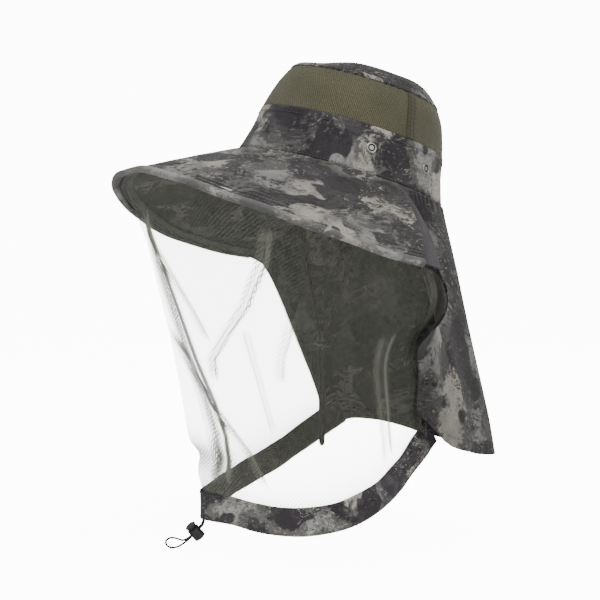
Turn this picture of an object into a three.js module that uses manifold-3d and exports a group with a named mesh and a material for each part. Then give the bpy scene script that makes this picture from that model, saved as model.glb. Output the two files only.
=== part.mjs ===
// Beekeeping veil hat: a broad-brimmed cloth hat with a neck flap, a face net
// hung from the brim, a drawcord neck band under the net and a chin cord.
// Millimetres, +Z up. -Y is the wearer's front and +X the wearer's left.
// The origin is the centre of the head opening. The crown leans back by CROWN_TILT,
// so that the flap, the net and the cords hang along -Z.
import * as THREE from 'three';
import { mergeVertices } from 'three/addons/utils/BufferGeometryUtils.js';
import Module from 'manifold-3d';

const wasm = await Module();
wasm.setup();

const rad = THREE.MathUtils.degToRad;
const lerp = THREE.MathUtils.lerp;
const vec = (x, y, z) => new THREE.Vector3(x, y, z);

// ---- driving dimensions -------------------------------------------------
const CROWN_TILT = rad(17);       // crown axis leans to the rear
const CROWN_HALF_LENGTH = 100.5;  // head opening, front to rear
const CROWN_HALF_WIDTH = 87.5;    // head opening, side to side
const BAND_TOP = 43.5;            // height of the lower crown band
const BAND_TOP_SCALE = 0.896;     // the crown narrows as it rises
const MESH_TOP = 89;
const MESH_TOP_SCALE = 0.754;
const DOME_RISE = 11;
const CLOTH = 0.9;                // thickness of one layer of cloth
const GAP = 0.35;                 // clearance between neighbouring pieces

const BRIM_END_CROWN = 103.5;     // degrees from the brim's middle to its end, at the crown
const BRIM_END_EDGE = 92.5;       // and at its outer edge
const BRIM_TURN = -5.5;           // the brim sits turned to the wearer's right
const BRIM_LENGTH = 134.8;        // mean length down the slope
const BRIM_SIDE_EXTRA = 20.5;     // longer at the sides, shorter at the front
const BRIM_CORE = 0.9;
const BINDING_WIDTH = 6;
const NET_INSET = 12;             // net seam, in from the brim's edge

const FLAP_SEAM_SHARE = 0.62;     // share of the flap's top on the crown
const FOLD_WIDTH = [5, 16];       // brim end fold, at the crown and at the edge
const FLAP_EDGE_BOW = 120;        // the front edges bow to the rear near their top

const NECK_BAND_HEIGHT = 25;
const DRAWCORD_RADIUS = 1;
const CHIN_CORD_RADIUS = 1.5;

const LOCK_RADIUS = 5.6;
const LOCK_BOTTOM = -7;           // barrel ends, measured from the cords
const LOCK_TOP = 4.2;
const LOCK_FLOOR = -5.9;
const LOCK_WALL = 1.3;
const LOCK_TRAVEL = 2.2;
const LOCK_SLOT = 4.8;            // cord slot along the lock, in barrel and plunger
const LOCK_SLOT_WIDTH = 5.2;      // cord slot across the lock
const LOCK_TURN = rad(41);        // plunger axis, forward of straight up
const LOCK_CENTRE = vec(0, -148, -321.5);

// ---- materials ------------------------------------------------------------
const finish = (color, roughness, metalness = 0) => ({ color, roughness, metalness });
const CAMO = finish(0x6e6c68, 0.9);
const CAMO_DARK = finish(0x45443e, 0.9);
const OLIVE_MESH = finish(0x5a5640, 0.85);
const LINING = finish(0x4a4d40, 0.9);
const CORE = finish(0xd9d6cc, 0.7);
const NET = finish(0x9aa08a, 0.8);
const TAPE = finish(0x3f4038, 0.85);
const BLACK_CORD = finish(0x17171a, 0.8);
const BLACK_PLASTIC = finish(0x121214, 0.35);
const STEEL = finish(0xb9babb, 0.3, 1);

const root = new THREE.Group();
const crown = new THREE.Group();
crown.rotation.x = -CROWN_TILT;
root.add(crown);

// ---- geometry helpers -------------------------------------------------------
// Merges the vertices of a closed geometry and turns its faces outwards.
function closed(geometry) {
  for (const name of ['normal', 'uv']) geometry.deleteAttribute(name);
  const merged = mergeVertices(geometry, 1e-4);
  const index = merged.index.array;
  const [a, b, c] = [vec(), vec(), vec()];
  let volume = 0;
  const kept = [];
  for (let i = 0; i < index.length; i += 3) {
    const [p, q, r] = [index[i], index[i + 1], index[i + 2]];
    if (p === q || q === r || r === p) continue;
    kept.push(p, q, r);
    a.fromBufferAttribute(merged.attributes.position, p);
    b.fromBufferAttribute(merged.attributes.position, q);
    c.fromBufferAttribute(merged.attributes.position, r);
    volume += a.dot(b.cross(c));
  }
  if (volume < 0) kept.reverse();
  merged.setIndex(kept);
  merged.computeVertexNormals();
  return merged;
}

function part(parent, name, geometry, look) {
  const mesh = new THREE.Mesh(geometry, new THREE.MeshStandardMaterial(look));
  mesh.name = name;
  parent.add(mesh);
  return mesh;
}

// Moves every vertex of a geometry to place(x, y, z), then closes it.
function bend(geometry, place) {
  const position = geometry.attributes.position;
  for (let i = 0; i < position.count; i += 1) {
    const p = place(position.getX(i), position.getY(i), position.getZ(i));
    position.setXYZ(i, p.x, p.y, p.z);
  }
  return closed(geometry);
}

// A sheet of cloth: a surface(u, v) with u and v from 0 to 1, thickened from
// offset low to offset high along its own normal.
function sheet(cellsU, cellsV, surface, low, high) {
  const step = 1e-3;
  return bend(new THREE.BoxGeometry(1, 1, 1, cellsU, cellsV, 1), (x, y, z) => {
    const [u, v] = [x + 0.5, y + 0.5];
    const du = u > 0.5 ? -step : step;
    const dv = v > 0.5 ? -step : step;
    const point = surface(u, v);
    const alongU = surface(u + du, v).sub(point).multiplyScalar(Math.sign(du));
    const alongV = surface(u, v + dv).sub(point).multiplyScalar(Math.sign(dv));
    const normal = alongU.cross(alongV).normalize();
    return point.addScaledVector(normal, z > 0 ? high : low);
  });
}

// A section (a list of [x, y] corners) swept along w from 0 to 1 through place(x, y, w).
function swept(section, steps, place) {
  const shape = new THREE.Shape(section.map(([x, y]) => new THREE.Vector2(x, y)));
  const geometry = new THREE.ExtrudeGeometry(shape, { depth: 1, steps, bevelEnabled: false });
  return bend(geometry, place);
}

// A ring turned from a closed profile of [x, y] corners, bent through place(x, y, angle).
function ring(profile, segments, place) {
  const points = [...profile, profile[0]].map(([x, y]) => new THREE.Vector2(x + 10, y));
  const geometry = new THREE.LatheGeometry(points, segments);
  return bend(geometry, (x, y, z) => place(Math.hypot(x, z) - 10, y, Math.atan2(x, z)));
}

function joined(geometries, operation) {
  const solids = geometries.map((geometry) => {
    const whole = closed(geometry);
    return new wasm.Manifold(new wasm.Mesh({
      numProp: 3,
      vertProperties: Float32Array.from(whole.attributes.position.array),
      triVerts: Uint32Array.from(whole.index.array),
    }));
  });
  const result = solids.reduce((left, right) => left[operation](right)).getMesh();
  const geometry = new THREE.BufferGeometry();
  geometry.setAttribute('position', new THREE.BufferAttribute(result.vertProperties, 3));
  geometry.setIndex(new THREE.BufferAttribute(result.triVerts, 1));
  return geometry;
}
const cut = (...geometries) => joined(geometries, 'subtract');

// A route through points, with steps spread by its points instead of by its length,
// so that a tight bend with more points gets more steps.
class Route extends THREE.CatmullRomCurve3 {
  getPointAt(t, target) { return this.getPoint(t, target); }
  getTangentAt(t, target) { return this.getTangent(t, target); }
}

function cord(points, radius, stepsPerSpan) {
  const corners = Array.from({ length: 8 }, (_, i) => {
    const angle = (i * Math.PI) / 4;
    return new THREE.Vector2(radius * Math.cos(angle), radius * Math.sin(angle));
  });
  return closed(new THREE.ExtrudeGeometry(new THREE.Shape(corners), {
    steps: (points.length - 1) * stepsPerSpan,
    extrudePath: new Route(points.map((p) => vec(...p)), false, 'centripetal'),
  }));
}

// ---- the crown ------------------------------------------------------------------
// The crown's outer wall at an angle from the front towards the wearer's left.
function crownScale(z) {
  if (z < BAND_TOP) return lerp(1, BAND_TOP_SCALE, z / BAND_TOP);
  return lerp(BAND_TOP_SCALE, MESH_TOP_SCALE, (z - BAND_TOP) / (MESH_TOP - BAND_TOP));
}

function crownPoint(angle, z, out) {
  const scale = crownScale(z);
  return vec(
    (CROWN_HALF_WIDTH * scale + out) * Math.sin(angle),
    -(CROWN_HALF_LENGTH * scale + out) * Math.cos(angle),
    z,
  );
}

function crownRing(name, [outLow, outHigh], [zLow, zHigh], look) {
  const profile = [[outLow, zLow], [outHigh, zLow], [outHigh, zHigh], [outLow, zHigh]];
  part(crown, name, ring(profile, 44, (x, y, angle) => crownPoint(angle, y, x)), look);
}

function crownPanel(name, [from, to], [zLow, zHigh], [outLow, outHigh], cells, look) {
  const geometry = new THREE.BoxGeometry(1, 1, 1, cells, 1, 1);
  part(crown, name, bend(geometry, (x, y, z) => crownPoint(
    rad(lerp(from, to, x + 0.5)),
    lerp(zLow, zHigh, y + 0.5),
    z > 0 ? outHigh : outLow,
  )), look);
}

function crownTopPanel() {
  const rise = (r) => MESH_TOP + DOME_RISE * (1 - r ** 3.2);
  const outer = [0, 0.4, 0.7, 0.88, 1].map((r) => [r, rise(r)]);
  const inner = [...outer].reverse().map(([r, z]) => [r * 0.985, z - CLOTH]);
  const profile = [...outer, ...inner].map(([r, z]) => new THREE.Vector2(r, z));
  const geometry = bend(new THREE.LatheGeometry(profile, 44), (x, y, z) => vec(
    x * (CROWN_HALF_WIDTH * MESH_TOP_SCALE - GAP),
    z * (CROWN_HALF_LENGTH * MESH_TOP_SCALE - GAP),
    y + GAP,
  ));
  part(crown, 'crown_top_panel', geometry, CAMO);
}

const SWEATBAND_OUT = -3.1; // clear of the stud sockets
const MESH_SEAM = 103; // degrees from the front: where the two mesh panels meet

function crownWalls() {
  crownRing('crown_band', [-CLOTH, 0], [0, BAND_TOP - GAP], CAMO);
  crownRing('sweatband', [SWEATBAND_OUT - 1, SWEATBAND_OUT], [1, 30], TAPE);
  crownRing('crown_top_seam', [GAP, 1.3], [MESH_TOP - 2.2, MESH_TOP + 1.8], CAMO_DARK);
  crownPanel('crown_mesh_front', [-MESH_SEAM + 1, MESH_SEAM - 1],
    [BAND_TOP, MESH_TOP - GAP], [-CLOTH, 0], 28, OLIVE_MESH);
  crownPanel('crown_mesh_rear', [MESH_SEAM + 1, 359 - MESH_SEAM],
    [BAND_TOP, MESH_TOP - GAP], [-CLOTH, 0], 32, OLIVE_MESH);
  for (const [side, sign] of [['left', 1], ['right', -1]]) {
    crownPanel(`crown_mesh_seam_${side}`, [sign * (MESH_SEAM - 3), sign * (MESH_SEAM + 3)],
      [BAND_TOP + 0.5, MESH_TOP - 2.8], [GAP, GAP + 0.7], 2, OLIVE_MESH);
  }
}

// Press studs on the lower crown band: a round cap outside and a socket inside.
const STUD_ANGLES = [79, 118];
const STUD_HEIGHT = 23;

function pressStuds() {
  const capProfile = [[0, 0], [4.8, 0], [4.8, 0.9], [4.2, 1.5], [3.4, 1.5], [3, 1.1], [0, 1.1]];
  const socketProfile = [[0, 0], [4, 0], [4, 0.8], [3.4, 1.3], [0, 1.3]];
  const turned = (profile) => new THREE.LatheGeometry(
    profile.map(([r, y]) => new THREE.Vector2(r, y)), 16);
  for (const [side, sign] of [['left', 1], ['right', -1]]) {
    STUD_ANGLES.forEach((degrees, i) => {
      const place = ['front', 'rear'][i];
      const angle = sign * rad(degrees);
      const centre = crownPoint(angle, STUD_HEIGHT, 0);
      const up = crownPoint(angle, STUD_HEIGHT + 1, 0).sub(centre);
      const around = crownPoint(angle + 0.01, STUD_HEIGHT, 0).sub(centre);
      const outward = around.cross(up).normalize();
      const pieces = [
        ['stud_cap', capProfile, outward, GAP + 0.15],
        ['stud_socket', socketProfile, outward.clone().negate(), CLOTH + GAP],
      ];
      for (const [name, profile, direction, offset] of pieces) {
        const mesh = part(crown, `${name}_${side}_${place}`, closed(turned(profile)), STEEL);
        mesh.quaternion.setFromUnitVectors(vec(0, 1, 0), direction);
        mesh.position.copy(centre).addScaledVector(direction, offset);
      }
    });
  }
}

// ---- the brim -------------------------------------------------------------------
// A point of the brim at an angle from the front, a distance down its slope
// (0 at the crown) and a height above its top face.
const brimLength = (angle) => BRIM_LENGTH - BRIM_SIDE_EXTRA * Math.cos(2 * angle);
const brimSlope = (angle) => rad(24.9 + 7.1 * Math.cos(angle) - 4.5 * Math.cos(2 * angle));

function brimPoint(angle, down, height) {
  const outward = vec(
    Math.sin(angle) / CROWN_HALF_WIDTH,
    -Math.cos(angle) / CROWN_HALF_LENGTH,
    0,
  ).normalize();
  const slope = brimSlope(angle);
  const run = down * Math.cos(slope) + height * Math.sin(slope);
  const rise = height * Math.cos(slope) - down * Math.sin(slope);
  return crownPoint(angle, 0, 0).addScaledVector(outward, run).add(vec(0, 0, rise));
}

// The angle of the brim's end on one side (1 left, -1 right), where share runs
// from 0 at the crown to 1 at the outer edge.
const brimEnd = (sign, share) => rad(
  sign * lerp(BRIM_END_CROWN, BRIM_END_EDGE, share) + BRIM_TURN);
const brimAngle = (w, share) => lerp(brimEnd(-1, share), brimEnd(1, share), w);

const TOP_LAYER = [-CLOTH, 0];
const LAYER_GAP = 0.5;
const CORE_LAYER = [-CLOTH - LAYER_GAP - BRIM_CORE, -CLOTH - LAYER_GAP];
const LINING_LAYER = [CORE_LAYER[0] - LAYER_GAP - CLOTH, CORE_LAYER[0] - LAYER_GAP];

function brimLayer(name, [low, high], [start, inset], look) {
  const shares = [0, 0.25, 0.5, 0.75, 1];
  const section = [
    ...shares.map((share) => [share, low]),
    ...[...shares].reverse().map((share) => [share, high]),
  ];
  part(crown, name, swept(section, 48, (x, y, w) => {
    const angle = brimAngle(w, x);
    return brimPoint(angle, lerp(start, brimLength(angle) - inset, x), y);
  }), look);
}

// A strip lying along the brim, given by its distances in from the edge.
function brimStrip(name, section, look) {
  part(crown, name, swept(section, 48, (x, y, w) => {
    const angle = brimAngle(w, 1);
    return brimPoint(angle, brimLength(angle) + x, y);
  }), look);
}

// The folded strip that covers the seam between the brim's end and the flap.
function brimEndFold(side, sign) {
  const section = [[0, -2.6], [1, -2.6], [1, -1.2], [0, -1.2]];
  part(crown, `brim_end_fold_${side}`, swept(section, 8, (x, y, w) => {
    const end = brimEnd(sign, w);
    const start = brimPoint(end, lerp(6, brimLength(end) - 1, w), y);
    return start.add(vec(0, lerp(0.8, lerp(...FOLD_WIDTH, w), x), 0));
  }), CAMO_DARK);
}

function brim() {
  const under = LINING_LAYER[0];
  const inner = LINING_LAYER[0] - GAP;
  const outer = inner - 0.7;
  brimLayer('brim_top', TOP_LAYER, [2.5, GAP], CAMO);
  brimLayer('brim_core', CORE_LAYER, [3, 2], CORE);
  brimLayer('brim_lining', LINING_LAYER, [3, GAP], LINING);
  brimStrip('brim_edge_binding', [
    [-BINDING_WIDTH, outer], [0.8, outer], [0.8, GAP + 0.7], [-BINDING_WIDTH, GAP + 0.7],
    [-BINDING_WIDTH, GAP], [0, GAP], [0, inner], [-BINDING_WIDTH, inner],
  ], CAMO_DARK);
  brimStrip('net_top_tape', [
    [-NET_INSET - 8, under - 1.1], [-NET_INSET + 4, under - 1.1],
    [-NET_INSET + 4, under - GAP], [-NET_INSET - 8, under - GAP],
  ], TAPE);
  brimEndFold('left', 1);
  brimEndFold('right', -1);
}

const fromCrown = (point) => point.applyAxisAngle(vec(1, 0, 0), -CROWN_TILT);

// ---- the neck flap -----------------------------------------------------------------
// Hem of the flap from the right front corner round the rear to the left front corner.
const FLAP_HEM = new THREE.CatmullRomCurve3([
  [-103, 36, -250], [-103, 62, -239], [-96, 86, -240], [-62, 124, -250], [0, 146, -261],
  [62, 129, -259], [97, 88, -251], [107, 56, -241], [111, 19, -207],
].map((p) => vec(...p)));

// Top seam: along the brim's right end, round the rear of the crown, and out
// along the brim's left end. u runs from -1 at the right to 1 at the left.
function flapTop(u) {
  const sign = Math.sign(u) || 1;
  const share = Math.abs(u);
  if (share <= FLAP_SEAM_SHARE) {
    const rear = sign * Math.PI;
    const angle = lerp(rear, brimEnd(sign, 0) + sign * rad(7), share / FLAP_SEAM_SHARE);
    return fromCrown(crownPoint(angle, -1.5, 1.5));
  }
  const out = (share - FLAP_SEAM_SHARE) / (1 - FLAP_SEAM_SHARE);
  const end = brimEnd(sign, out);
  const behind = vec(0, lerp(9, FOLD_WIDTH[1] - 1, out), -2);
  return fromCrown(brimPoint(end, lerp(6, brimLength(end) - 4, out), -5).add(behind));
}

// The cloth falls straight at the rear. Towards the front edges it first hangs
// from the brim and then swings in to the neck.
function flapPoint(u, v) {
  const top = flapTop(u);
  const hem = FLAP_HEM.getPoint((u + 1) / 2);
  const swing = v * v * (3 - 2 * v);
  const inward = lerp(1 - (1 - v) ** 1.12, swing, u * u);
  const bow = FLAP_EDGE_BOW * u ** 4 * v * (1 - v) ** 3;
  return vec(
    lerp(top.x, hem.x, inward),
    lerp(top.y, hem.y, inward) + bow,
    lerp(top.z, hem.z, v),
  );
}

function neckFlap() {
  const surface = (u, v) => flapPoint(lerp(-1, 1, u), lerp(0.01, 1, v));
  part(root, 'neck_flap', sheet(36, 8, surface, -CLOTH / 2, CLOTH / 2), CAMO);
  const hem = (u, v) => flapPoint(lerp(-0.95, 0.95, u), lerp(0.955, 0.998, v));
  part(root, 'flap_hem', sheet(36, 1, hem, -CLOTH / 2 - 1.3, -CLOTH / 2 - 0.6), CAMO_DARK);
  for (const [side, sign] of [['left', 1], ['right', -1]]) {
    const edge = (u, v) => flapPoint(sign * lerp(0.95, 0.998, u), lerp(0.01, 1, v));
    const outer = CLOTH / 2 + 1.4;
    const layer = sign > 0 ? [outer, outer + 0.7] : [-outer - 0.7, -outer];
    part(root, `flap_front_hem_${side}`, sheet(2, 8, edge, ...layer), TAPE);
  }
}

// ---- the neck band -----------------------------------------------------------------
// Centre line of the band from its right end round the front to its left end.
const BAND_ROUTE = new THREE.CatmullRomCurve3([
  [-97, 50, -229], [-97, 24, -244], [-92, 2, -255], [-80, -29, -268], [-60, -68, -279],
  [-30, -108, -288], [-11, -131, -294], [0, -140, -297], [14, -136, -298], [34, -127, -299],
  [60, -116, -302], [85, -104, -303], [104, -86, -302], [114, -56, -297], [113, -22, -284],
  [102, 6, -268], [91, 30, -249], [84, 50, -231],
].map((p) => vec(...p)), false, 'centripetal');
const BAND_LENGTH = BAND_ROUTE.getLength();
const BAND_FRONT = 0.454;  // where the band's foremost point lies along its length

// A point of the band: s along it in mm from its front, rise up from its centre
// line, and out away from the neck.
function bandPoint(s, rise, out) {
  const t = THREE.MathUtils.clamp(BAND_FRONT + s / BAND_LENGTH, 0, 1);
  const centre = BAND_ROUTE.getPointAt(t);
  const tangent = BAND_ROUTE.getTangentAt(t);
  const up = vec(0, 0, 1).addScaledVector(tangent, -tangent.z).normalize();
  const outward = tangent.clone().cross(up);
  return centre.addScaledVector(up, rise).addScaledVector(outward, out);
}

const BAND_FROM = -BAND_FRONT * BAND_LENGTH;
const BAND_TO = (1 - BAND_FRONT) * BAND_LENGTH;

// Half the channel between the two casing strips: pinched along the edges, and
// open over the front, where the drawcord comes out below.
function channel(s, rise) {
  const along = Math.exp(-((s / 19) ** 4));
  const across = Math.cos((Math.PI * rise) / NECK_BAND_HEIGHT);
  return lerp(0.2 + 1.2 * across, 2, along);
}

function casing(name, sign, look) {
  const geometry = new THREE.BoxGeometry(1, 1, 1, 66, 2, 1);
  part(root, name, bend(geometry, (x, y, z) => {
    const s = lerp(BAND_FROM, BAND_TO, x + 0.5);
    const rise = y * NECK_BAND_HEIGHT;
    const out = channel(s, rise) + (z > 0 ? CLOTH : 0);
    return bandPoint(s, rise, sign * out);
  }), look);
}

// ---- the face net ------------------------------------------------------------------
const NET_SIDE = 0.965;   // where the net's side seams lie across the flap
const NET_CLEARANCE = 5.6; // from the flap's middle surface to the net

// The net's side seam: inside the flap near its front edge, ending on the band.
function netSide(sign, v, end) {
  const at = (share) => flapPoint(sign * NET_SIDE, share * 0.93);
  const along = at(v + 0.01).sub(at(v));
  const across = flapPoint(sign * (NET_SIDE - 0.02), v * 0.93).sub(at(v));
  const inward = along.cross(across).normalize().multiplyScalar(-sign);
  const seam = (share) => at(share).addScaledVector(inward, NET_CLEARANCE);
  return seam(v).addScaledVector(end.clone().sub(seam(1)), v ** 7);
}

function netPoint(u, v) {
  const sign = Math.sign(u) || 1;
  const topAt = (share) => {
    const angle = brimAngle(lerp(0.005, 0.995, (share + 1) / 2), 1);
    return fromCrown(brimPoint(angle, brimLength(angle) - NET_INSET, LINING_LAYER[0] - 2.2));
  };
  const bottomAt = (share) => {
    const s = share > 0 ? share * (BAND_TO - 6) : -share * (BAND_FROM + 6);
    return bandPoint(s, NECK_BAND_HEIGHT / 2 + 1.2, 0);
  };
  const point = topAt(u).lerp(bottomAt(u), v);
  const corner = topAt(sign).lerp(bottomAt(sign), v);
  const pull = Math.abs(u) ** 3;
  return point.add(netSide(sign, v, bottomAt(sign)).sub(corner).multiplyScalar(pull));
}

function faceNet() {
  const surface = (u, v) => netPoint(lerp(-1, 1, u), v);
  part(root, 'face_net', sheet(44, 8, surface, -0.3, 0.3), NET);
}

// ---- drawcord and cord lock --------------------------------------------------------
const DRAWCORD_LOOP = [
  [17, -134.8, -298.1], [9.5, -137.8, -300], [4.4, -139.8, -304.5], [2.5, -140.1, -309.5],
  [1.4, -141.2, -315.2], [1.25, -144.2, -318.2], [1.25, -148, -321.5], [1.25, -154.5, -327.1],
  [0, -160, -330.6], [-2.6, -164.5, -330.9], [-3.6, -168.5, -330.2], [-2.2, -172, -329.2],
  [0, -173.2, -328.6], [2.2, -172, -328], [3.6, -168.5, -327.6], [2.6, -164.5, -327.4],
  [0, -160, -327.7], [-1.25, -154.5, -327.1], [-1.25, -148, -321.5], [-1.25, -144.2, -318.2],
  [-1.2, -141.2, -315.2], [0.1, -139.9, -309.5], [-1, -139.4, -304.5], [-4.5, -137.2, -299.5],
  [-10.8, -131.4, -294.5],
];

function drawcord() {
  part(root, 'drawcord_loop', cord(DRAWCORD_LOOP, DRAWCORD_RADIUS, 2), BLACK_CORD);
  for (const [side, from, to] of [['left', 17, BAND_TO - 4], ['right', -17, BAND_FROM + 4]]) {
    const points = Array.from({ length: 25 }, (_, i) => bandPoint(lerp(from, to, i / 24), 0, 0));
    part(root, `drawcord_in_band_${side}`,
      cord(points.map((p) => p.toArray()), DRAWCORD_RADIUS, 1), BLACK_CORD);
  }
}

// The lock is built along +Z (its plunger on top) with the cords passing along Y.
function cordLock() {
  const lock = new THREE.Group();
  lock.position.copy(LOCK_CENTRE);
  lock.rotation.x = LOCK_TURN;
  root.add(lock);
  const turned = (points) => {
    const profile = points.map(([r, z]) => new THREE.Vector2(r, z));
    return new THREE.LatheGeometry(profile, 24).rotateX(Math.PI / 2);
  };
  const slot = (low, high) => {
    const box = new THREE.BoxGeometry(LOCK_SLOT_WIDTH, 30, high - low);
    return box.translate(0, 0, (low + high) / 2);
  };
  const slotSpan = (centre) => [centre - LOCK_SLOT / 2, centre + LOCK_SLOT / 2];
  const bore = LOCK_RADIUS - LOCK_WALL;
  const barrel = cut(
    turned([[0, LOCK_BOTTOM], [LOCK_RADIUS - 1.5, LOCK_BOTTOM], [LOCK_RADIUS, LOCK_BOTTOM + 1.8],
      [LOCK_RADIUS, LOCK_TOP - 0.6], [LOCK_RADIUS - 0.6, LOCK_TOP], [bore, LOCK_TOP],
      [bore, LOCK_FLOOR], [0, LOCK_FLOOR]]),
    slot(...slotSpan(-LOCK_TRAVEL / 2)),
  );
  part(lock, 'cord_lock_barrel', closed(barrel), BLACK_PLASTIC);
  const stem = bore - GAP;
  const foot = (LOCK_TRAVEL - LOCK_SLOT) / 2 - 0.9;
  const head = LOCK_TOP + LOCK_TRAVEL + GAP;
  const plunger = cut(
    turned([[0, foot], [stem, foot], [stem, head], [LOCK_RADIUS - 0.4, head],
      [LOCK_RADIUS - 0.4, head + 1.2], [LOCK_RADIUS - 1.2, head + 1.8], [0, head + 1.8]]),
    slot(...slotSpan(LOCK_TRAVEL / 2)),
  );
  part(lock, 'cord_lock_plunger', closed(plunger), BLACK_PLASTIC);
  part(lock, 'cord_lock_spring', lockSpring(LOCK_FLOOR + 0.6, foot - 0.6), STEEL);
}

// A compression spring of round wire between two heights.
function lockSpring(low, high) {
  const [radius, wire, turns] = [2.6, 0.22, 3];
  const points = Array.from({ length: turns * 9 + 1 }, (_, i) => {
    const angle = (i / 9) * 2 * Math.PI;
    return vec(radius * Math.cos(angle), radius * Math.sin(angle), lerp(low, high, i / (turns * 9)));
  });
  const section = Array.from({ length: 5 }, (_, i) => new THREE.Vector2(
    wire * Math.cos(i * rad(72)), wire * Math.sin(i * rad(72))));
  return closed(new THREE.ExtrudeGeometry(new THREE.Shape(section), {
    steps: turns * 9, extrudePath: new Route(points),
  }));
}

// ---- chin cord ------------------------------------------------------------------------
const CHIN_STRAND = 3.2; // half the spacing of the two strands below the slider
const CHIN_CORD = [
  [79.9, -8, -13.6], [61, -11, -48], [40, -14, -84], [20, -17, -119], [6.4, -18.7, -141],
  [CHIN_STRAND, -19, -147], [CHIN_STRAND, -19, -152], [CHIN_STRAND, -19, -200],
  [CHIN_STRAND, -19, -242], [2.4, -19, -246.6], [0, -19, -248.6], [-2.4, -19, -246.6],
  [-CHIN_STRAND, -19, -242], [-CHIN_STRAND, -19, -200], [-CHIN_STRAND, -19, -152],
  [-CHIN_STRAND, -19, -147], [-6.4, -18.7, -141], [-20, -17, -119], [-40, -14, -84],
  [-61, -11, -48], [-79.9, -8, -13.6],
];
const SLIDER_CENTRE = vec(0, -19, -154);

function chinCord() {
  part(root, 'chin_cord', cord(CHIN_CORD, CHIN_CORD_RADIUS, 3), BLACK_CORD);
  for (const [side, sign] of [['left', 1], ['right', -1]]) {
    const tab = part(root, `chin_tab_${side}`,
      closed(new THREE.BoxGeometry(2.2, 10, 15)), TAPE);
    tab.position.set(sign * 79.6, -8, -4.5);
  }
  const hole = (x) => new THREE.CylinderGeometry(
    CHIN_CORD_RADIUS + GAP, CHIN_CORD_RADIUS + GAP, 20, 16).rotateX(Math.PI / 2).translate(x, 0, 0);
  const bar = new THREE.Shape();
  bar.absarc(-6.5, 0, 3.4, Math.PI / 2, -Math.PI / 2, false);
  bar.absarc(6.5, 0, 3.4, -Math.PI / 2, Math.PI / 2, false);
  const body = new THREE.ExtrudeGeometry(bar, {
    depth: 5, bevelEnabled: false, curveSegments: 8,
  }).translate(0, 0, -2.5);
  const slider = closed(cut(body, hole(CHIN_STRAND), hole(-CHIN_STRAND)));
  const mesh = part(root, 'chin_slider', slider, BLACK_PLASTIC);
  mesh.position.copy(SLIDER_CENTRE);
}

crownTopPanel();
crownWalls();
pressStuds();
brim();
neckFlap();
casing('neck_band_outer', 1, CAMO);
casing('neck_band_inner', -1, LINING);
faceNet();
drawcord();
cordLock();
chinCord();

export default root;
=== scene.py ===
"""Beekeeping veil hat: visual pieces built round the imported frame.

Lengths in the shape functions are millimetres; meshes and Blender values are metres.
-Y is the wearer's front, +X the wearer's left, and the crown leans back.
"""
import math

import bmesh
import bpy
import numpy as np
from mathutils import Matrix, Vector


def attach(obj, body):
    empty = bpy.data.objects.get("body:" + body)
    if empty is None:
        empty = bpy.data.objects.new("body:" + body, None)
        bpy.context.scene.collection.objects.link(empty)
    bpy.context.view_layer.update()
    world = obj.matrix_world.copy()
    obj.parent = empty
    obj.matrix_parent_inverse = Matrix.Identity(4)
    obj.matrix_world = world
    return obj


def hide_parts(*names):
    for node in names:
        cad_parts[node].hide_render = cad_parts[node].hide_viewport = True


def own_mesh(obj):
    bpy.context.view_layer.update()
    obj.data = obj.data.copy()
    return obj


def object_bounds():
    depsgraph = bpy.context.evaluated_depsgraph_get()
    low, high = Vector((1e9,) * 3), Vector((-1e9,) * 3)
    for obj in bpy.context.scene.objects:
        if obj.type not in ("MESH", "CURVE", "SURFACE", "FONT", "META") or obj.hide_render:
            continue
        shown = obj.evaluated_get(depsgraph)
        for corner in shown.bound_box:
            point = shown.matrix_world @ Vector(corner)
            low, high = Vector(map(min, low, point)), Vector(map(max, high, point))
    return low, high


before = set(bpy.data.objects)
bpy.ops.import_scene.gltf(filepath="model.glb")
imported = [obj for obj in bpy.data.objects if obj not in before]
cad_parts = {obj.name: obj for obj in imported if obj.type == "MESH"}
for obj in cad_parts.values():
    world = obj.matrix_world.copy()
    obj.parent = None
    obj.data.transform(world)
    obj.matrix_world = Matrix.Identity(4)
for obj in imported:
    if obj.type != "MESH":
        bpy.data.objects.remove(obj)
CAD_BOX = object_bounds()

bl_info = {
    "name": "Beekeeping Veil",
    "version": (1, 0, 0),
    "blender": (4, 5, 0),
    "location": "3D View > Sidebar > Veil",
    "description": "Builds a broad-brimmed hat with a face net, neck flap and cords",
    "category": "Object",
}

MM = 0.001
SIDES = (("left", 1), ("right", -1))

# ---- dimensions shared with the frame, in millimetres and degrees ----------------
CROWN_TILT = math.radians(17)
CROWN_HALF_LENGTH, CROWN_HALF_WIDTH = 100.5, 87.5
BAND_TOP, BAND_TOP_SCALE = 43.5, 0.896
MESH_TOP, MESH_TOP_SCALE, DOME_RISE = 89.0, 0.754, 17.5
TOP_HALF_LENGTH, TOP_HALF_WIDTH = 75.7, 65.9
MESH_SEAM, SHOULDER = 103.0, 4.6
STUD_ANGLES, STUD_HEIGHT = (79.0, 118.0), 23.0
BRIM_END_CROWN, BRIM_END_EDGE, BRIM_TURN = 103.5, 92.5, -5.5
BRIM_LENGTH, BRIM_SIDE_EXTRA = 134.8, 20.5
LINING_BOTTOM = -3.7
NET_INSET = 12.0
FLAP_SEAM_SHARE = 0.62
FLAP_EDGE_BOW, FLAP_LEFT_HOLLOW = 120.0, 15
NET_SIDE, NET_SIDE_DROP, NET_CLEARANCE = 0.965, 0.93, 5.6
BAND_HEIGHT, BAND_FRONT = 25.0, 0.454
LOCK_CENTRE, LOCK_TURN = (0.0, -148.0, -321.5), math.radians(41)
SLIDER_CENTRE, CHIN_STRAND = (0.0, -19.0, -154.0), 3.2
FLAP_HEM = (
    (-103, 36, -250), (-103, 62, -239), (-96, 86, -240), (-62, 124, -250), (0, 146, -261),
    (62, 129, -259), (97, 88, -251), (107, 56, -241), (111, 19, -207),
)
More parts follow.
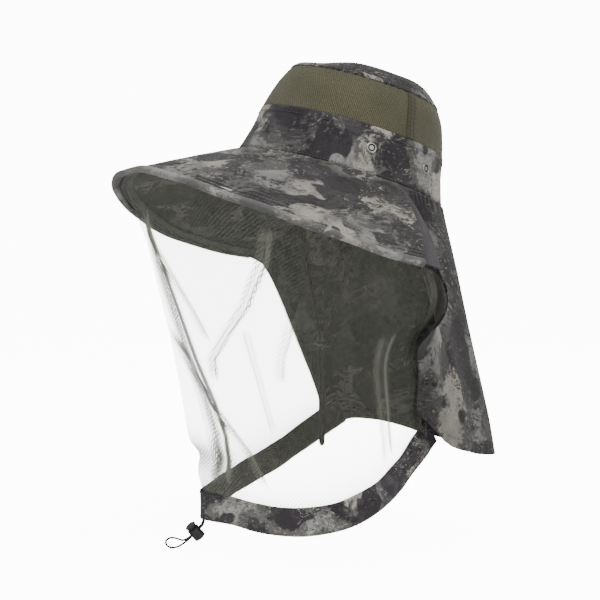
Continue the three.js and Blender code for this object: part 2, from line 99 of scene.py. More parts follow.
BAND_ROUTE = (
    (-97, 50, -229), (-97, 24, -244), (-92, 2, -255), (-80, -29, -268), (-60, -68, -279),
    (-30, -108, -288), (-11, -131, -294), (0, -140, -297), (14, -136, -298),
    (34, -127, -299), (60, -116, -302), (85, -104, -303), (104, -86, -302),
    (114, -56, -297), (113, -22, -284), (102, 6, -268), (91, 30, -249), (84, 50, -231),
)
DRAWCORD_LOOP = (
    (17, -134.8, -298.1), (9.5, -137.8, -300), (4.4, -139.8, -304.5), (2.5, -140.1, -309.5),
    (1.4, -141.2, -315.2), (1.25, -144.2, -318.2), (1.25, -148, -321.5),
    (1.25, -154.5, -327.1), (1.2, -159.5, -330.6), (0.4, -165.5, -333.8),
    (-0.4, -171.5, -334.4), (-1, -175.6, -332.2), (-1.2, -176.6, -328.6), (-1, -173.8, -325.9),
    (-0.8, -169, -325.7), (-1, -164, -327.4), (-1.2, -159.6, -328.6),
    (-1.25, -154.5, -326.9), (-1.25, -148, -321.5), (-1.25, -144.2, -318.2),
    (-1.2, -141.2, -315.2), (0.1, -139.9, -309.5), (-1, -139.4, -304.5),
    (-4.5, -137.2, -299.5), (-10.8, -131.4, -294.5),
)
CHIN_HALF = (
    (79.9, -8, -13.6), (61, -11, -48), (40, -14, -84), (20, -17, -119), (6.4, -18.7, -141),
    (CHIN_STRAND, -19, -147), (CHIN_STRAND, -19, -152), (CHIN_STRAND, -19, -200),
    (CHIN_STRAND, -19, -242), (2.4, -19, -246.6), (0, -19, -248.6),
)
CHIN_CORD = CHIN_HALF + tuple((-x, y, z) for x, y, z in CHIN_HALF[-2::-1])
SWEATBAND_TOP, SWEATBAND_INSET = 30, 3.6
BRIM_ROWS = (7.4, 13.6, 20.2, 26.8)  # stitch rows, in from the brim's edge
BRIM_COVER_START, BRIM_COVER_END = 1.1, 0.35  # gaps at the crown and at the edge
# Sections as (out, height) from the crown's foot and (out, height) from the brim's edge.
SEAM_ALLOWANCE = ((1.6, -6.0), (1.5, -3.6), (0.7, -1.7), (-0.6, -0.5), (-1.3, 0.8), (-1.4, 3.5))
BINDING = (
    (-6, -4.4), (-4, -4.42), (-2, -4.4), (-0.6, -4.25), (0.1, -3.7), (0.45, -2.8),
    (0.5, -1.85), (0.45, -0.9), (0.1, 0.05), (-0.6, 0.55), (-2, 0.7), (-4, 0.72), (-6, 0.68),
)
NET_TAPE = ((-20, -4.45), (-14, -4.5), (-8, -4.45))

# ---- hard pieces, in millimetres: the cord lock's heights are along its own axis ---------------
DRAWCORD_RADIUS, CHIN_CORD_RADIUS = 1.0, 1.5
STITCH_SHARE = 0.74  # of its pitch that a stitch shows
BARREL_RADIUS, BARREL_FOOT, BARREL_TOP, BARREL_WALL = 5.6, -7.0, 4.2, 1.3
BARREL_WELL, BARREL_FLOOR, BARREL_GROOVE = 10.1, -5.9, -5.0
PLUNGER_RADIUS, PLUNGER_FOOT, PLUNGER_NECK, PLUNGER_HEAD = 3.95, -2.2, 6.75, 5.2
CORD_SLOT = (5.2, 30.0)
BARREL_SLOT, PLUNGER_SLOT = (-3.5, 1.3), (-1.3, 3.5)
SLIDER_SIZE, SLIDER_ROUND, SLIDER_HOLE = (19.8, 6.8, 5.0), 3.36, 1.85
# The third value is the ring, radii in mm, where the studs are painted near-black: painted shade
# in their sunk wells.
STUD_RADIUS, STUD_RIM, STUD_WELL_SHADE_RING = 4.8, 0.9, (2.15, 3.5)
SOCKET_RADIUS, SOCKET_RIM = 4.0, 0.6
EDGE_ANGLE, SMOOTH_ANGLE = 35, 32

# ---- camera: angles in radians, lengths in metres -----------------------------------------------
CAMERA_TURN, CAMERA_TILT, CAMERA_DISTANCE = 1.115222, 0.0553636, 1.93995
CAMERA_ACROSS, CAMERA_ABOVE = -0.037522, -0.113374
FOCAL_LENGTH, FRAME_WIDTH, SENSOR_WIDTH = 2074.97, 600, 36.0
FLOOR_GAP, FLOOR_RADIUS = 0.008, 25


# ---- shape functions ---------------------------------------------------------------
def lerp(a, b, t):
    return a + (b - a) * t


def smooth(t):
    t = np.clip(t, 0, 1)
    return t * t * (3 - 2 * t)


def vec(x, y, z):
    return np.stack(np.broadcast_arrays(x, y, z), -1).astype(float)


def unit(v):
    return v / np.maximum(np.linalg.norm(v, axis=-1, keepdims=True), 1e-12)


def bell(t, centre, width):
    return np.exp(-(((t - centre) / width) ** 2))


def fading(distance, reach):
    """1 at a place, falling away over a reach."""
    return np.exp(-distance / reach)


def running_length(line):
    """Length along a line of points, from its start to each point."""
    return np.concatenate([[0], np.cumsum(np.linalg.norm(np.diff(line, axis=0), axis=1))])


class Route:
    """A centripetal Catmull-Rom curve through points, read at a share of its length."""

    def __init__(self, points):
        p = np.array(points, float)
        self.knots = np.vstack([2 * p[0] - p[1], p, 2 * p[-1] - p[-2]])
        self.spans = len(p) - 1
        line = self.at(np.linspace(0, 1, 201))
        self.table = running_length(line)
        self.length = float(self.table[-1])

    def at(self, t):
        place = np.clip(np.asarray(t, float), 0, 1) * self.spans
        span = np.minimum(place.astype(int), self.spans - 1)
        f = (place - span)[..., None]
        x0, x1, x2, x3 = (self.knots[span + k] for k in range(4))
        gap = [
            np.linalg.norm(b - a, axis=-1, keepdims=True) ** 0.5
            for a, b in ((x0, x1), (x1, x2), (x2, x3))
        ]
        t1 = (x1 - x0) / gap[0] - (x2 - x0) / (gap[0] + gap[1]) + (x2 - x1) / gap[1]
        t2 = (x2 - x1) / gap[1] - (x3 - x1) / (gap[1] + gap[2]) + (x3 - x2) / gap[2]
        t1, t2 = t1 * gap[1], t2 * gap[1]
        return (
            x1 + t1 * f + (-3 * x1 + 3 * x2 - 2 * t1 - t2) * f**2
            + (2 * x1 - 2 * x2 + t1 + t2) * f**3
        )

    def share(self, s):
        """Curve parameter at a share s of the length."""
        return np.interp(np.clip(s, 0, 1) * self.length, self.table, np.linspace(0, 1, 201))

    def point(self, s):
        return self.at(self.share(s))

    def tangent(self, s):
        t = self.share(s)
        return unit(self.at(t + 1e-4) - self.at(t - 1e-4))


HEM_ROUTE = Route(FLAP_HEM)
NECK_ROUTE = Route(BAND_ROUTE)
BAND_FROM = -BAND_FRONT * NECK_ROUTE.length
BAND_TO = (1 - BAND_FRONT) * NECK_ROUTE.length


def from_crown(p):
    c, s = math.cos(CROWN_TILT), math.sin(CROWN_TILT)
    return vec(p[..., 0], p[..., 1] * c + p[..., 2] * s, -p[..., 1] * s + p[..., 2] * c)


def crown_point(angle, z, out):
    """A point of the crown's wall before its tilt: angle from the front, height, distance out."""
    low = lerp(1, BAND_TOP_SCALE, z / BAND_TOP)
    high = lerp(BAND_TOP_SCALE, MESH_TOP_SCALE, (z - BAND_TOP) / (MESH_TOP - BAND_TOP))
    scale = np.where(np.asarray(z) < BAND_TOP, low, high)
    return vec(
        (CROWN_HALF_WIDTH * scale + out) * np.sin(angle),
        -(CROWN_HALF_LENGTH * scale + out) * np.cos(angle),
        z,
    )


def shoulder(z):
    """How far the crown's wall leans in as it rounds over to the top panel."""
    return SHOULDER * np.clip((np.asarray(z, float) - MESH_TOP + 20) / 20, 0, 1.1) ** 2


def brim_length(angle):
    return BRIM_LENGTH - BRIM_SIDE_EXTRA * np.cos(2 * angle)


def brim_point(angle, down, height):
    """A point of the brim before the crown's tilt: down its slope, and its height over it."""
    outward = unit(vec(np.sin(angle) / CROWN_HALF_WIDTH, -np.cos(angle) / CROWN_HALF_LENGTH, 0))
    slope = np.radians(24.9 + 7.1 * np.cos(angle) - 4.5 * np.cos(2 * angle))
    share = np.asarray(down) / brim_length(angle)
    ripple = 0.9 * smooth(share) * np.sin(7 * angle + 0.6) + 0.5 * share * np.sin(17 * angle)
    lift = np.asarray(height) + ripple
    run = down * np.cos(slope) + lift * np.sin(slope)
    rise = lift * np.cos(slope) - down * np.sin(slope)
    return crown_point(angle, 0.0, 0.0) + outward * np.asarray(run)[..., None] + vec(0, 0, rise)


def brim_end(sign, share):
    return np.radians(sign * lerp(BRIM_END_CROWN, BRIM_END_EDGE, share) + BRIM_TURN)


def brim_angle(w, share):
    return lerp(brim_end(-1, share), brim_end(1, share), w)


def flap_top(u):
    """The flap's upper edge: round the crown's rear, then out along the brim's ends."""
    sign = np.where(u < 0, -1.0, 1.0)
    share = np.abs(u)
    angle = lerp(sign * math.pi, brim_end(sign, 0) + sign * math.radians(7),
                 np.minimum(share / FLAP_SEAM_SHARE, 1))
    rear = crown_point(angle, -1.5, 1.5)
    out = np.clip((share - FLAP_SEAM_SHARE) / (1 - FLAP_SEAM_SHARE), 0, 1)
    end = brim_end(sign, out)
    side = brim_point(end, lerp(6, brim_length(end) - 4, out), -5) + vec(0, lerp(9, 15, out), -2)
    return from_crown(np.where((share <= FLAP_SEAM_SHARE)[..., None], rear, side))


def flap_shape(u, v):
    """The flap without its drape. u runs from the right front edge to the left, v down."""
    u, v = np.broadcast_arrays(np.asarray(u, float), np.asarray(v, float))
    top, hem = flap_top(u), HEM_ROUTE.at((u + 1) / 2)
    inward = lerp(1 - np.maximum(1 - v, 0) ** 1.12, v * v * (3 - 2 * v), u * u)
    bow = FLAP_EDGE_BOW * u**4 * v * (1 - v) ** 3
    bow = bow - FLAP_LEFT_HOLLOW * np.maximum(u, 0) ** 8 * bell(v, 0.52, 0.15)
    return vec(
        lerp(top[..., 0], hem[..., 0], inward),
        lerp(top[..., 1], hem[..., 1], inward) + bow,
        lerp(top[..., 2], hem[..., 2], v),
    )


def surface_normal(shape, u, v, step=2e-3):
    """The unit normal of a shape over (u, v)."""
    along = shape(u + step, v) - shape(u - step, v)
    across = shape(u, v + step) - shape(u, v - step)
    return unit(np.cross(along, across))


def flap_drape(u, v):
    """How far the hanging cloth stands out: soft folds that grow from the seam to the hem."""
    fall = smooth(v * 1.25)
    free = 1 - smooth((np.abs(u) - 0.86) / 0.1)
    folds = (
        2.6 * np.sin(9.5 * u + 0.5) * fall
        + 1.5 * np.sin(19 * u + 1.9 + 1.4 * v) * fall
        + 1.1 * np.sin(6 * v + 5 * u) * smooth(v * 3) * smooth((1 - v) * 4)
    )
    pucker = 0.45 * np.sin(150 * u + 3 * np.sin(23 * u)) * fading(v, 0.035)
    hemline = 0.35 * np.sin(120 * u) * fading(1 - v, 0.03)
    return folds * free + pucker + hemline


def flap_point(u, v):
    u, v = np.broadcast_arrays(np.asarray(u, float), np.asarray(v, float))
    return flap_shape(u, v) + surface_normal(flap_shape, u, v) * flap_drape(u, v)[..., None]


def band_point(s, rise, out):
    """A point of the neck band: s along it from the front, rise up its face, out from it."""
    share = BAND_FRONT + np.asarray(s, float) / NECK_ROUTE.length
    tangent = NECK_ROUTE.tangent(share)
    up = unit(vec(0, 0, 1) - tangent * tangent[..., 2:3])
    outward = np.cross(tangent, up)
    return (
        NECK_ROUTE.point(share)
        + up * np.asarray(rise, float)[..., None]
        + outward * np.asarray(out, float)[..., None]
    )


def net_side(sign, v, end):
    """The net's side edge: it keeps clear of the flap's edge, and turns to its end low down."""
    def at(share, side=NET_SIDE):
        return flap_shape(sign * side, share * NET_SIDE_DROP)

    def clear(share):
        along, across = at(share + 0.01) - at(share), at(share, NET_SIDE - 0.02) - at(share)
        inward = unit(np.cross(along, across)) * -np.asarray(sign)[..., None]
        return at(share) + inward * NET_CLEARANCE

    return clear(v) + (end - clear(np.ones_like(v))) * (v**7)[..., None]


def net_shape(u, v):
    """The face net before its folds. u runs from the right side seam to the left, v down."""
    u, v = np.broadcast_arrays(np.asarray(u, float), np.asarray(v, float))
    sign = np.where(u < 0, -1.0, 1.0)

    def top(share):
        angle = brim_angle(lerp(0.005, 0.995, (share + 1) / 2), 1)
        return from_crown(brim_point(angle, brim_length(angle) - NET_INSET, LINING_BOTTOM - 0.3))

    def bottom(share):
        s = np.where(share > 0, share * (BAND_TO - 6), -share * (BAND_FROM + 6))
        return band_point(s, BAND_HEIGHT / 2 - 1.5, 0.0)

    point = lerp(top(u), bottom(u), v[..., None])
    corner = lerp(top(sign), bottom(sign), v[..., None])
    pull = (np.abs(u) ** 3)[..., None]
    return point + (net_side(sign, v, bottom(sign)) - corner) * pull


# Folds sewn or fallen into the net: centre line as (v, u) points, half width in u, depth in mm.
NET_FOLDS = (
    (((0.10, -0.01), (0.365, 0.052), (0.57, 0.097), (0.69, 0.135), (0.8, 0.145), (0.885, 0.12),
      (0.97, 0.088)), 0.05, 1.6),
    (((0.05, 0.56), (0.198, 0.51), (0.365, 0.40), (0.453, 0.31), (0.555, 0.205), (0.64, 0.185)),
     0.022, 0.8),
    (((0.46, -0.02), (0.503, 0.01), (0.69, 0.135), (0.825, 0.248), (0.95, 0.30)), 0.020, 0.8),
    (((0.12, -0.03), (0.177, 0.01), (0.445, 0.177), (0.52, 0.21)), 0.018, 0.7),
    (((0.36, 0.56), (0.443, 0.525), (0.515, 0.485), (0.62, 0.45)), 0.016, 0.5),
    (((0.42, 0.87), (0.7, 0.82), (0.97, 0.78)), 0.035, 0.8),
    (((0.08, -0.30), (0.4, -0.27), (0.75, -0.24), (0.97, -0.20)), 0.024, 0.35),
    (((0.45, -0.80), (0.7, -0.74), (0.97, -0.66)), 0.020, 0.5),
)


FOLD_SHIFT = 0.22


def across_fold(line, width, u, v):
    """How far across a fold a point lies, in half widths, and the share of the fold there."""
    places, centres = zip(*line)
    fade = smooth((v - places[0]) / 0.06) * smooth((places[-1] - v) / 0.05)
    return (u - np.interp(v, places, centres)) / width, fade


def net_folds(u, v):
    """Where a point of the net is carried across by the folds, and how far it stands out."""
    moved, out = u.copy(), np.zeros_like(u)
    for line, width, depth in NET_FOLDS:
        t, fade = across_fold(line, width, u, v)
        t = np.clip(t, -1, 1)
        moved -= FOLD_SHIFT * width * np.sin(math.pi * t) * fade * (np.abs(t) < 1)
        out += depth * np.sin(math.pi * t) * fade
    return moved, out


def net_density(u, v):
    """How far the threads crowd together: along the folds, at the gathers and in the pinch."""
    dense = 0.9 * fading(1 - v, 0.05) + 0.35 * fading(v, 0.03)
    dense = dense + 1.3 * bell(v, 0.88, 0.05) * bell(u, 0.02, 0.11)
    for line, width, depth in NET_FOLDS:
        t, fade = across_fold(line, width, u, v)
        dense = dense + fade * depth * (
            0.9 * bell(t, -0.7, 0.011 / width) + 1.7 * bell(t, 0.7, 0.006 / width)
            + 0.45 * bell(t, 0, 0.75))
    return dense


def net_drape(u, v):
    """Soft hollows over the whole net, the pinch over the neck, and gathers at its lower seam."""
    ends = smooth((0.93 - np.abs(u)) / 0.12)
    body = smooth(v / 0.2) * smooth((1 - v) / 0.16)
    hang = (1.7 * np.sin(8.5 * u + 2.2 * v + 0.4) + 1.2 * np.sin(17 * u - 5 * v + 1.1)
            + 0.7 * np.sin(9 * v + 11 * u)) * body
    pinch = -6.5 * bell(v, 0.885, 0.035) * bell(u, 0.0, 0.13)
    gather = 1.25 * np.sin(118 * u + 2.4 * np.sin(9 * u)) * fading(1 - v, 0.06)
    gather = gather * smooth((1 - v) / 0.035)
    head = 0.7 * np.sin(135 * u + 2 * np.sin(13 * u)) * fading(v, 0.05) * smooth(v / 0.03)
    return (hang + pinch + gather + head) * ends


def net_point(u, v):
    u, v = np.broadcast_arrays(np.asarray(u, float), np.asarray(v, float))
    moved, out = net_folds(u, v)
    out = out + net_drape(u, v)
    moved = np.clip(moved, -1, 1)
    return net_shape(moved, v) - surface_normal(net_shape, moved, v) * out[..., None]


def band_channel(s, rise):
    """Half the gap between the two casing strips: pinched at the edges, open at the front."""
    along = np.exp(-((s / 19) ** 4))
    across = np.cos(math.pi * np.clip(rise, -12.5, 12.5) / BAND_HEIGHT)
    return lerp(0.2 + 1.2 * across, 2.0, along)


def band_gather(s, rise):
    """Small puckers that the drawcord pulls into the band."""
    calm = 1 - 0.7 * np.exp(-((s / 22) ** 4))
    return calm * (
        0.55 * np.sin(s / 2.3 + 0.8 * np.sin(s / 9)) * bell(rise, 0, 8)
        + 0.5 * np.sin(s / 7.5 + rise / 9)
    )


# ---- meshes -------------------------------------------------------------------------
def new_object(name, vertices, faces, uvs=None, slots=None, finishes=()):
    """A smooth mesh from points in mm, with corner UVs in metres and material slots."""
    mesh = bpy.data.meshes.new(name)
    mesh.from_pydata(np.asarray(vertices, float) * MM, [], faces)
    mesh.polygons.foreach_set("use_smooth", np.ones(len(mesh.polygons), bool))
    if uvs is not None:
        layer = mesh.uv_layers.new(name="cloth")
        layer.data.foreach_set("uv", np.asarray(uvs, np.float32).ravel())
    for finish in finishes:
        mesh.materials.append(finish)
    if slots is not None:
        mesh.polygons.foreach_set("material_index", np.asarray(slots, np.int32))
    mesh.update()
    return in_scene(name, mesh)


def in_scene(name, data):
    """A new object in the scene for a mesh, a lamp or a camera."""
    made = bpy.data.objects.new(name, data)
    bpy.context.scene.collection.objects.link(made)
    return made


def grid_faces(columns, rows, wrap):
    """Quads over a grid whose points are numbered column by column."""
    i, j = np.meshgrid(np.arange(columns if wrap else columns - 1), np.arange(rows - 1),
                       indexing="ij")
    a = (i * rows + j).ravel()
    return np.stack([a, a + rows, a + rows + 1, a + 1], 1)


def cloth(name, grid, low, high, finishes, wrap=False):
    """A closed sheet: a grid of middle points thickened along its normals, with rounded rims.
    The first finish is the face that the normals leave, the second the face behind."""
    columns, rows = grid.shape[:2]
    if wrap:
        along = (np.roll(grid, -1, 0) - np.roll(grid, 1, 0)) / 2
    else:
        along = np.gradient(grid, axis=0)
    across = np.gradient(grid, axis=1)
    normal = unit(np.cross(along, across))
    low, high = (np.broadcast_to(np.asarray(x, float), (columns, rows)) for x in (low, high))
    front = (grid + normal * high[..., None]).reshape(-1, 3)
    back = (grid + normal * low[..., None]).reshape(-1, 3)
    half = ((high - low) / 2).reshape(-1, 1)
    middle = (front + back) / 2
    flat = grid_faces(columns, rows, wrap)
    count = columns * rows
    layer_step = count * 10  # a corner's layer (front, back, rim) is kept with its place
    edge_out = np.zeros((columns, rows, 3))
    edge_out[:, 0] -= unit(across)[:, 0]
    edge_out[:, -1] += unit(across)[:, -1]
    if not wrap:
        edge_out[0] -= unit(along)[0]
        edge_out[-1] += unit(along)[-1]
    rim = middle + unit(edge_out).reshape(-1, 3) * half * 0.8

    def loop(column, row):
        return column * rows + row

    span = columns + 1 if wrap else columns
    lower = [loop(i, 0) for i in range(span)]
    upper = [loop(i, rows - 1) for i in range(span - 1, -1, -1)]
    if wrap:
        paths = [lower, upper]
    else:
        right = [loop(columns - 1, j) for j in range(1, rows)]
        left = [loop(0, j) for j in range(rows - 2, -1, -1)]
        paths = [lower + right + upper[1:] + left]
    rims = []
    for path in paths:
        a, b = np.array(path[:-1]), np.array(path[1:])
        back_a, back_b, rim_a, rim_b = (x + layer_step * k for k in (1, 2) for x in (a, b))
        rims += [np.stack([back_a, back_b, rim_b, rim_a], 1), np.stack([rim_a, rim_b, b, a], 1)]
    faces = np.vstack([flat, flat[:, ::-1] + layer_step, *rims])
    layer, place = faces // layer_step, faces % layer_step
    measured_u, measured_v = (
        np.concatenate([[0], np.cumsum(np.linalg.norm(way, axis=-1).mean(axis))])
        for way, axis in ((along, 1), (across, 0)))
    uvs = np.stack([measured_u[np.minimum(place // rows, span - 1)],
                    measured_v[place % rows]], -1)
    real = place % count + layer * count
    points = np.vstack([front, back, rim])
    used, real = np.unique(real, return_inverse=True)
    slots = (layer == 1).all(1).astype(int) if len(finishes) > 1 else None
    return new_object(name, points[used], real.reshape(-1, 4), uvs * MM, slots, finishes)


def grid_of(shape, columns, rows, wrap=False):
    u = np.linspace(0, 1, columns + 1)[:-1] if wrap else np.linspace(0, 1, columns)
    return shape(*np.meshgrid(u, np.linspace(0, 1, rows), indexing="ij"))


def tube(name, line, radius, sides, finish, relief=None):
    """A round cord along a dense line of points, with rounded ends and UVs along and round it."""
    tangent = unit(np.gradient(line, axis=0))
    side = unit(np.cross(tangent[0], (0.31, 0.87, 0.38)))
    frames = []
    for t in tangent:
        side = unit(side - t * (side @ t))
        frames.append((side, np.cross(t, side)))
    along = running_length(line)
    angle = np.arange(sides) * 2 * math.pi / sides
    girth = radius * (np.ones((len(line), sides)) if relief is None
                      else relief(along[:, None], angle[None, :]))
    from_end = np.minimum(np.minimum(along, along[-1] - along) / (0.6 * radius), 1)
    girth = girth * np.sqrt(np.clip(1 - (1 - from_end) ** 2, 0.02, 1))[:, None]
    a, b = (np.array([f[k] for f in frames])[:, None, :] for k in (0, 1))
    rings = line[:, None, :] + girth[..., None] * (
        np.cos(angle)[None, :, None] * a + np.sin(angle)[None, :, None] * b)
    points = np.vstack([rings.reshape(-1, 3), line[:1], line[-1:]])
    faces, uvs = [], []
    last = len(line) * sides
    for i in range(len(line) - 1):
        for k in range(sides):
            m = (k + 1) % sides
            a, b = i * sides, (i + 1) * sides
            faces.append((a + k, a + m, b + m, b + k))
            uvs += [(along[i], k), (along[i], k + 1), (along[i + 1], k + 1), (along[i + 1], k)]
    for k in range(sides):
        m = (k + 1) % sides
        faces.append((last, m, k))
        uvs += [(0, k), (0, k + 1), (0, k)]
        top = (len(line) - 1) * sides
        faces.append((last + 1, top + k, top + m))
        uvs += [(along[-1], k), (along[-1], k), (along[-1], k + 1)]
    uvs = np.array(uvs, float) * (MM, 2 * math.pi * radius * MM / sides)
    return new_object(name, points, faces, uvs, None, (finish,))


def plaited(strands, pitch):
    """Relief of a braided cord: two sets of strands that wind opposite ways."""
    def relief(along, angle):
        turn = 2 * math.pi * along / pitch
        left = np.cos(strands * angle / 2 + turn)
        right = np.cos(strands * angle / 2 - turn)
        return 0.945 + 0.055 * np.maximum(left, right)
    return relief


def stitches(name, rows, finish, pitch, length, radius):
    """Rows of lock stitches: each a short thread, sunk at both ends. A row is a line of
    points and the cloth's outward normals there."""
    profile = ((-0.5, 0.25, -0.5), (-0.36, 0.9, 0.15), (0.36, 0.9, 0.15), (0.5, 0.25, -0.5))
    angle = np.arange(5) * 2 * math.pi / 5
    points, faces = [], []
    for line, normals in rows:
        steps = running_length(line)
        places = np.arange(pitch / 2, steps[-1] - pitch / 4, pitch)

        def read(values, shift=0.0):
            return np.stack([np.interp(places + shift, steps, column) for column in values.T], 1)

        centre, up = read(line), unit(read(normals))
        along = unit(read(line, 0.5) - read(line, -0.5))
        side = np.cross(along, up)
        for c, t, n, b in zip(centre, along, up, side):
            base = len(points)
            for share, fat, lift in profile:
                ring = c + t * share * length + n * lift * radius
                points += [ring + radius * fat * (math.cos(a) * b + math.sin(a) * n)
                           for a in angle]
            for r in range(3):
                for k in range(5):
                    m = (k + 1) % 5
                    faces.append((base + r * 5 + k, base + r * 5 + m,
                                  base + r * 5 + 5 + m, base + r * 5 + 5 + k))
            faces += [tuple(base + k for k in range(4, -1, -1)),
                      tuple(base + 15 + k for k in range(5))]
    made = new_object(name, points, faces, None, None, (finish,))
    with_outward_faces(made)
    return made


def with_outward_faces(made):
    mesh = bmesh.new()
    mesh.from_mesh(made.data)
    bmesh.ops.recalc_face_normals(mesh, faces=mesh.faces)
    mesh.to_mesh(made.data)
    mesh.free()


def seam_row(shape, u, v, lift, step=1e-3):
    """A stitch row over a surface: its line stands lift mm off the surface."""
    u, v = np.broadcast_arrays(np.asarray(u, float), np.asarray(v, float))
    normal = surface_normal(shape, u, v, step) * np.sign(lift)
    return shape(u, v) + normal * abs(lift), normal


def settle(made, body, slot, *nodes):
    """Puts a finished piece on its body and hides the frame nodes it stands for. slot is not used.
    """
    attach(made, body)
    if nodes:
        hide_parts(*nodes)
    return made


# ---- shader helpers --------------------------------------------------------------------
class Tree:
    """Short calls for building a node tree."""

    def __init__(self, tree):
        self.tree = tree

    def put(self, socket, value):
        if isinstance(value, bpy.types.NodeSocket):
            self.tree.links.new(value, socket)
        else:
            socket.default_value = value

    def add(self, kind, inputs=(), **settings):
        node = self.tree.nodes.new(kind)
        for key, value in settings.items():
            setattr(node, key, value)
        for key, value in dict(inputs).items():
            self.put(node.inputs[key], value)
        return node

    def math(self, operation, *values, clamp=False):
        node = self.add("ShaderNodeMath", enumerate(values), operation=operation, use_clamp=clamp)
        return node.outputs[0]

    def times(self, *values, clamp=False):
        """The product of the values, the last step clamped if asked."""
        product = values[0]
        for place, value in enumerate(values[1:], 2):
            product = self.math("MULTIPLY", product, value,
                                clamp=clamp and place == len(values))
        return product

    def plus(self, base, value, gain):
        """base and gain times the value."""
        return self.math("ADD", base, self.math("MULTIPLY", value, gain))

    def vector(self, operation, *values):
        node = self.add("ShaderNodeVectorMath", enumerate(values), operation=operation)
        return node.outputs[0]

    def cells(self, vector, per_metre, turn):
        """The two parts of a vector that is scaled to cells, as angles of turn a cell."""
        place = self.vector("SCALE", vector)
        self.put(place.node.inputs["Scale"], per_metre)
        parts = self.add("ShaderNodeSeparateXYZ", {0: place}).outputs
        return [self.math("MULTIPLY", parts[k], turn) for k in (0, 1)]

    def grey(self, value):
        return self.add("ShaderNodeCombineXYZ", {0: value, 1: value, 2: value}).outputs[0]

    def use(self, name, inputs):
        """Outputs of one of this file's shader groups."""
        return self.add("ShaderNodeGroup", inputs, node_tree=group(name)).outputs

    def noise(self, vector, scale, detail=2.0, roughness=0.5, distortion=0.0, output="Fac"):
        node = self.add("ShaderNodeTexNoise", {
            "Vector": vector, "Scale": scale, "Detail": detail,
            "Roughness": roughness, "Distortion": distortion})
        return node.outputs[output]

    def mix(self, factor, first, second, blend="MIX"):
        node = self.add("ShaderNodeMix", data_type="RGBA", blend_type=blend)
        self.put(node.inputs[0], factor)
        self.put(node.inputs[6], first)
        self.put(node.inputs[7], second)
        return node.outputs[2]

    def between(self, value, low, high):
        """0 below low, 1 above high, smooth between."""
        node = self.add("ShaderNodeMapRange", {
            "Value": value, "From Min": low, "From Max": high}, interpolation_type="SMOOTHSTEP")
        return node.outputs[0]


def node_group(name, inputs, outputs):
    """A new shader group with named sockets. Returns its tree helper, inputs and output node."""
    tree = bpy.data.node_groups.new(name, "ShaderNodeTree")
    for label, kind, default in inputs:
        socket = tree.interface.new_socket(label, in_out="INPUT", socket_type=kind)
        if default is not None:
            socket.default_value = default
    for label, kind in outputs:
        tree.interface.new_socket(label, in_out="OUTPUT", socket_type=kind)
    entry = tree.nodes.new("NodeGroupInput")
    return Tree(tree), entry.outputs, tree.nodes.new("NodeGroupOutput")


FLOAT, VECTOR, COLOUR = "NodeSocketFloat", "NodeSocketVector", "NodeSocketColor"
INKS = {"Charcoal": "charcoal", "Mid Grey": "mid_grey", "Pale Grey": "pale_grey",
        "Sand": "sand", "Shadow": "shadow"}


def camouflage_group():
    """Soft grey and sand patches with ragged streaks and flecks."""
    shades = [(label, COLOUR, (0.2, 0.2, 0.2, 1.0)) for label in INKS]
    t, given, out = node_group(
        "camouflage_print",
        [("Vector", VECTOR, None), ("Patch Scale", FLOAT, 20.0), ("Streaks", FLOAT, 1.0),
         ("Flecks", FLOAT, 1.0), *shades],
        [("Color", COLOUR), ("Ink", FLOAT)])
    scale = given["Patch Scale"]
    drift = t.vector("SUBTRACT", t.noise(given["Vector"], t.times(scale, 1.3), 3.0,
                                         output="Color"), (0.5, 0.5, 0.5))
    warped = t.vector("ADD", given["Vector"], t.vector("MULTIPLY", drift, (0.035, 0.035, 0.035)))

    def cloud(away, share, detail, roughness=0.5):
        """Soft noise of the warped cloth, read some way off, at a share of the patch scale."""
        place = t.vector("ADD", warped, away) if away else warped
        return t.noise(place, t.times(scale, share) if share != 1 else scale, detail, roughness)

    fine = cloud(None, 13.0, 4.0, 0.72)
    grit = t.noise(given["Vector"], t.times(scale, 34.0), 2.0, 0.7)
    ragged = t.times(t.math("SUBTRACT", fine, 0.5), 0.24)
    first = t.math("ADD", cloud(None, 1, 2.0), ragged)
    second = t.math("ADD", cloud((3.1, 1.7, 5.3), 0.8, 2.0), ragged)
    dark_cloud, mottled = cloud((7.9, 4.1, 2.2), 1.2, 1.0), cloud((5.5, 8.3, 1.9), 2.4, 3.0)
    colour = t.mix(t.between(first, 0.45, 0.50), given["Charcoal"], given["Mid Grey"])
    for mask, ink in (
            (t.between(first, 0.535, 0.59), "Pale Grey"),
            (t.between(second, 0.56, 0.61), "Sand"),
            (t.times(t.between(mottled, 0.44, 0.64), 0.38), "Mid Grey"),
            (t.times(t.between(dark_cloud, 0.55, 0.57), 0.95), "Charcoal")):
        colour = t.mix(mask, colour, given[ink])
    long_way = t.vector("MULTIPLY", warped, (1.0, 1.0, 3.4))
    gate = t.between(cloud((1.3, 9.2, 4.4), 1, 1.0), 0.40, 0.54)
    for size, low in ((3.2, 0.54), (7.0, 0.52)):
        streak = t.between(t.noise(long_way, t.times(scale, size), 6.0, 0.66), low, low + 0.05)
        streaks = t.times(streak, gate, given["Streaks"], clamp=True)
        colour = t.mix(t.times(streaks, 0.92), colour, given["Shadow"])
    flake = t.between(t.noise(long_way, t.times(scale, 10.0), 4.0, 0.7), 0.59, 0.63)
    cluster = t.between(cloud((6.3, 2.2, 9.4), 1, 2.0), 0.40, 0.60)
    for mask, strength, ink in (((flake, cluster), 0.85, "Sand"),
                                ((t.between(fine, 0.40, 0.34),), 0.7, "Shadow")):
        flecks = t.times(*mask, given["Flecks"], clamp=True)
        colour = t.mix(t.times(flecks, strength), colour, given[ink])
    toned = t.vector("MULTIPLY", colour, t.grey(t.plus(0.55, grit, 0.90)))
    t.put(out.inputs["Color"], toned)
    t.put(out.inputs["Ink"], first)


